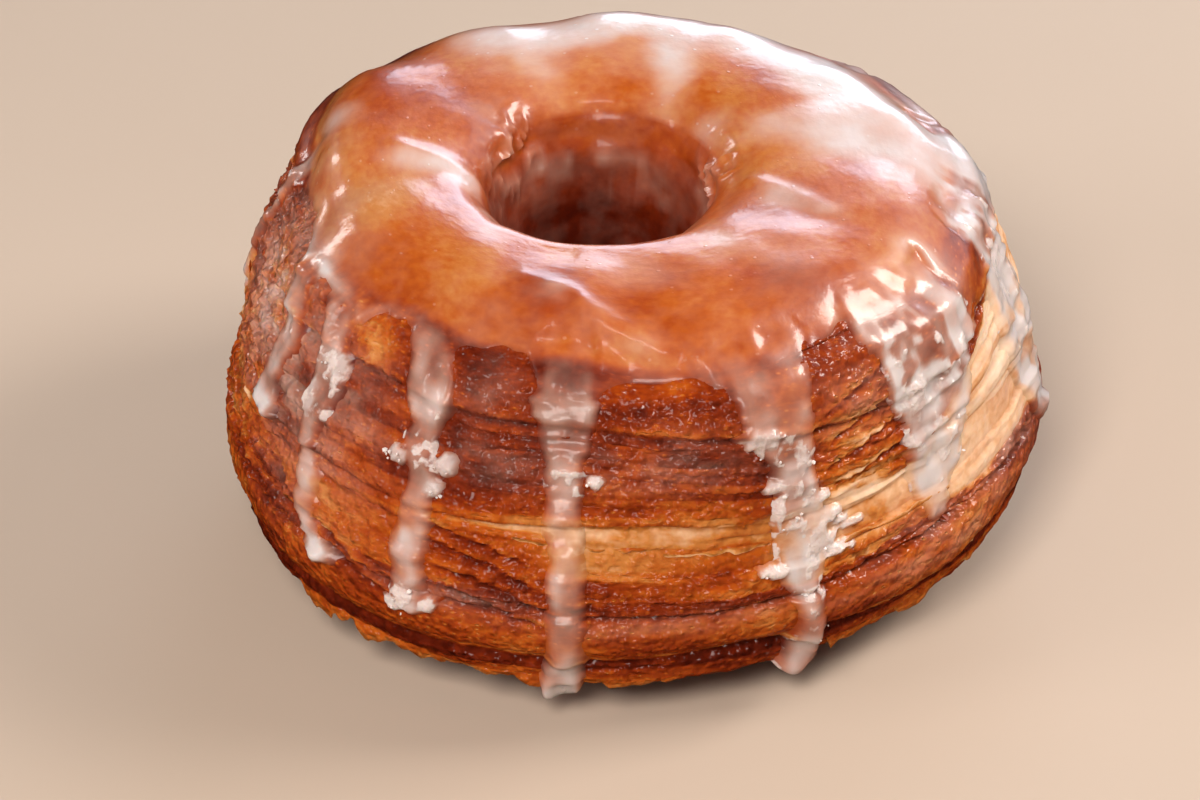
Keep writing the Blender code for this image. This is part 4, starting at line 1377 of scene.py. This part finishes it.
def add_lamp(power, name, azimuth, elevation, distance, width, height, radiance, colour, use):
    """A soft rectangular lamp that faces the doughnut."""
    data = bpy.data.lights.new(name, "AREA")
    data.shape = "RECTANGLE"
    data.size, data.size_y = width, height
    data.energy = power * radiance * math.pi * width * height
    data.color = linear(colour)[:3]
    lamp = bpy.data.objects.new(name, data)
    bpy.context.scene.collection.objects.link(lamp)
    turn, lift = math.radians(azimuth), math.radians(elevation)
    towards = Vector((math.cos(turn) * math.cos(lift), math.sin(turn) * math.cos(lift), math.sin(lift)))
    lamp.location = towards * distance
    lamp.rotation_euler = (-towards).to_track_quat("-Z", "Y").to_euler()
    lamp.visible_glossy = use != "light"
    lamp.visible_diffuse = use != "glint"


def floor_material():
    """Matt painted board: pale, with the faint mottle of a brushed coat."""
    material, add = new_material("matt painted board")
    # Mottle about 110 mm wide
    place_on = {"Vector": add("TexCoord", output="Object"), "Scale": 0.009 / MM, "Detail": 3.0}
    mottle = add("TexNoise", place_on)
    tints = {0: mottle, 6: linear("#C1B1A0"), 7: linear("#C8B9A9")}
    tint = add("Mix", tints, output=2, data_type="RGBA")
    add("OutputMaterial", add("BsdfPrincipled", {"Base Color": tint, "Roughness": 0.8}))
    return material


FLOOR_HALF = 1.6  # metres
SURROUND_COLOUR = "#EFE6DC"
SURROUND_STRENGTH = 0.16


def make_stage(settings):
    """The floor, the soft lamps, the surrounding light and the camera."""
    corners = [(-1, -1), (1, -1), (1, 1), (-1, 1)]
    mesh = bpy.data.meshes.new("floor")
    mesh.from_pydata([(x * FLOOR_HALF, y * FLOOR_HALF, 0.0) for x, y in corners], [], [(0, 1, 2, 3)])
    floor = bpy.data.objects.new("floor", mesh)
    bpy.context.scene.collection.objects.link(floor)
    mesh.materials.append(floor_material())
    floor.visible_glossy = False
    for lamp in LAMPS:
        add_lamp(settings.light_power, *lamp)
    world = bpy.data.worlds.new("soft surround")
    world.use_nodes = True
    background = world.node_tree.nodes["Background"]
    background.inputs["Color"].default_value = linear(SURROUND_COLOUR)
    background.inputs["Strength"].default_value = SURROUND_STRENGTH * settings.light_power
    bpy.context.scene.world = world
    world.cycles_visibility.glossy = False
    bpy.context.scene.view_settings.view_transform = "Standard"
    make_camera()


# ---- settings


class DoughSettings(bpy.types.PropertyGroup):
    """Sizes of the dough's relief."""

    groove_depth: bpy.props.FloatProperty(
        name="Groove depth", description="Depth of the grooves between leaves, in mm", default=0.8, min=0.0
    )
    blister_height: bpy.props.FloatProperty(
        name="Blister height", description="Height of the crust's blisters, in mm", default=0.17, min=0.0
    )


class GlazeSettings(bpy.types.PropertyGroup):
    """Sizes and shine of the glaze."""

    thickness: bpy.props.FloatProperty(
        name="Thickness", description="Scales the thickness of the glaze", default=1.0, min=0.1
    )
    lumpiness: bpy.props.FloatProperty(
        name="Lumpiness", description="Strength of the waves in the glaze on the top", default=1.0, min=0.0
    )
    shine_roughness: bpy.props.FloatProperty(
        name="Shine roughness", description="Roughness of the wet outer film",
        subtype="FACTOR", default=0.14, min=0.0, max=1.0,
    )
    milk_colour: bpy.props.FloatVectorProperty(
        name="Milk colour", description="Colour of the glaze where it is thick and opaque",
        subtype="COLOR", size=4, default=linear(MILK_THICK), min=0.0, max=1.0,
    )


class SugarSettings(bpy.types.PropertyGroup):
    """Size of the dried sugar's grains."""

    grain_size: bpy.props.FloatProperty(
        name="Grain size", description="Usual width of one grain, in mm", default=0.34, min=0.05
    )


class StageSettings(bpy.types.PropertyGroup):
    """Strength of the studio light."""

    light_power: bpy.props.FloatProperty(
        name="Light power", description="Scales the lamps and the surrounding light", default=1.0, min=0.0
    )


# ---- operators


class OBJECT_OT_doughnut_dough(bpy.types.Operator):
    """Adds the ring of laminated dough, and hides the plain solid that it stands for"""

    bl_idname = "object.doughnut_dough"
    bl_label = "Add Dough"

    def execute(self, context):
        piece = make_dough(context.scene.doughnut_dough)
        dress(piece, fried_dough_material(context.scene.doughnut_glaze.milk_colour))
        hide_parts(CAD_NODE)
        return {"FINISHED"}


class OBJECT_OT_doughnut_glaze(bpy.types.Operator):
    """Adds the poured glaze with its runs"""

    bl_idname = "object.doughnut_glaze"
    bl_label = "Add Glaze"

    def execute(self, context):
        settings = context.scene.doughnut_glaze
        piece = make_glaze(settings, context.scene.doughnut_dough)
        dress(piece, sugar_glaze_material(settings))
        return {"FINISHED"}


class OBJECT_OT_doughnut_sugar(bpy.types.Operator):
    """Adds the grains of dried sugar on the glaze's runs"""

    bl_idname = "object.doughnut_sugar"
    bl_label = "Add Dried Sugar"

    def execute(self, context):
        piece = make_sugar(context.scene.doughnut_sugar)
        dress(piece, dried_sugar_material())
        return {"FINISHED"}


class OBJECT_OT_doughnut_flakes(bpy.types.Operator):
    """Adds the thin torn edges that stand off the wall"""

    bl_idname = "object.doughnut_flakes"
    bl_label = "Add Flakes"

    def execute(self, context):
        piece = make_flakes()
        dress(piece, fried_dough_material(context.scene.doughnut_glaze.milk_colour))
        return {"FINISHED"}


class OBJECT_OT_doughnut_stage(bpy.types.Operator):
    """Adds the floor, lamps and camera"""

    bl_idname = "object.doughnut_stage"
    bl_label = "Add Stage"

    def execute(self, context):
        make_stage(context.scene.doughnut_stage)
        return {"FINISHED"}


class VIEW3D_PT_doughnut(bpy.types.Panel):
    """Lists the doughnut's settings and its pieces"""

    bl_label = "Doughnut"
    bl_idname = "VIEW3D_PT_doughnut"
    bl_space_type = "VIEW_3D"
    bl_region_type = "UI"
    bl_category = "Doughnut"

    def draw(self, context):
        for name, group in SETTINGS.items():
            box = self.layout.box()
            for setting in group.__annotations__:
                box.prop(getattr(context.scene, name), setting)
            box.operator("object." + name)
        self.layout.operator(OBJECT_OT_doughnut_flakes.bl_idname)


CLASSES = (
    DoughSettings,
    GlazeSettings,
    SugarSettings,
    StageSettings,
    OBJECT_OT_doughnut_dough,
    OBJECT_OT_doughnut_flakes,
    OBJECT_OT_doughnut_glaze,
    OBJECT_OT_doughnut_sugar,
    OBJECT_OT_doughnut_stage,
    VIEW3D_PT_doughnut,
)
SETTINGS = {
    "doughnut_dough": DoughSettings,
    "doughnut_glaze": GlazeSettings,
    "doughnut_sugar": SugarSettings,
    "doughnut_stage": StageSettings,
}


def register():
    """Registers the classes and their settings on the scene."""
    for item in CLASSES:
        bpy.utils.register_class(item)
    for name, group in SETTINGS.items():
        setattr(bpy.types.Scene, name, bpy.props.PointerProperty(type=group))


def unregister():
    """Removes what register added."""
    for name in SETTINGS:
        delattr(bpy.types.Scene, name)
    for item in reversed(CLASSES):
        bpy.utils.unregister_class(item)


def main():
    register()
    bpy.ops.object.doughnut_dough()
    bpy.ops.object.doughnut_flakes()
    bpy.ops.object.doughnut_glaze()
    bpy.ops.object.doughnut_sugar()
    bpy.ops.object.doughnut_stage()


if __name__ == "__main__":
    main()
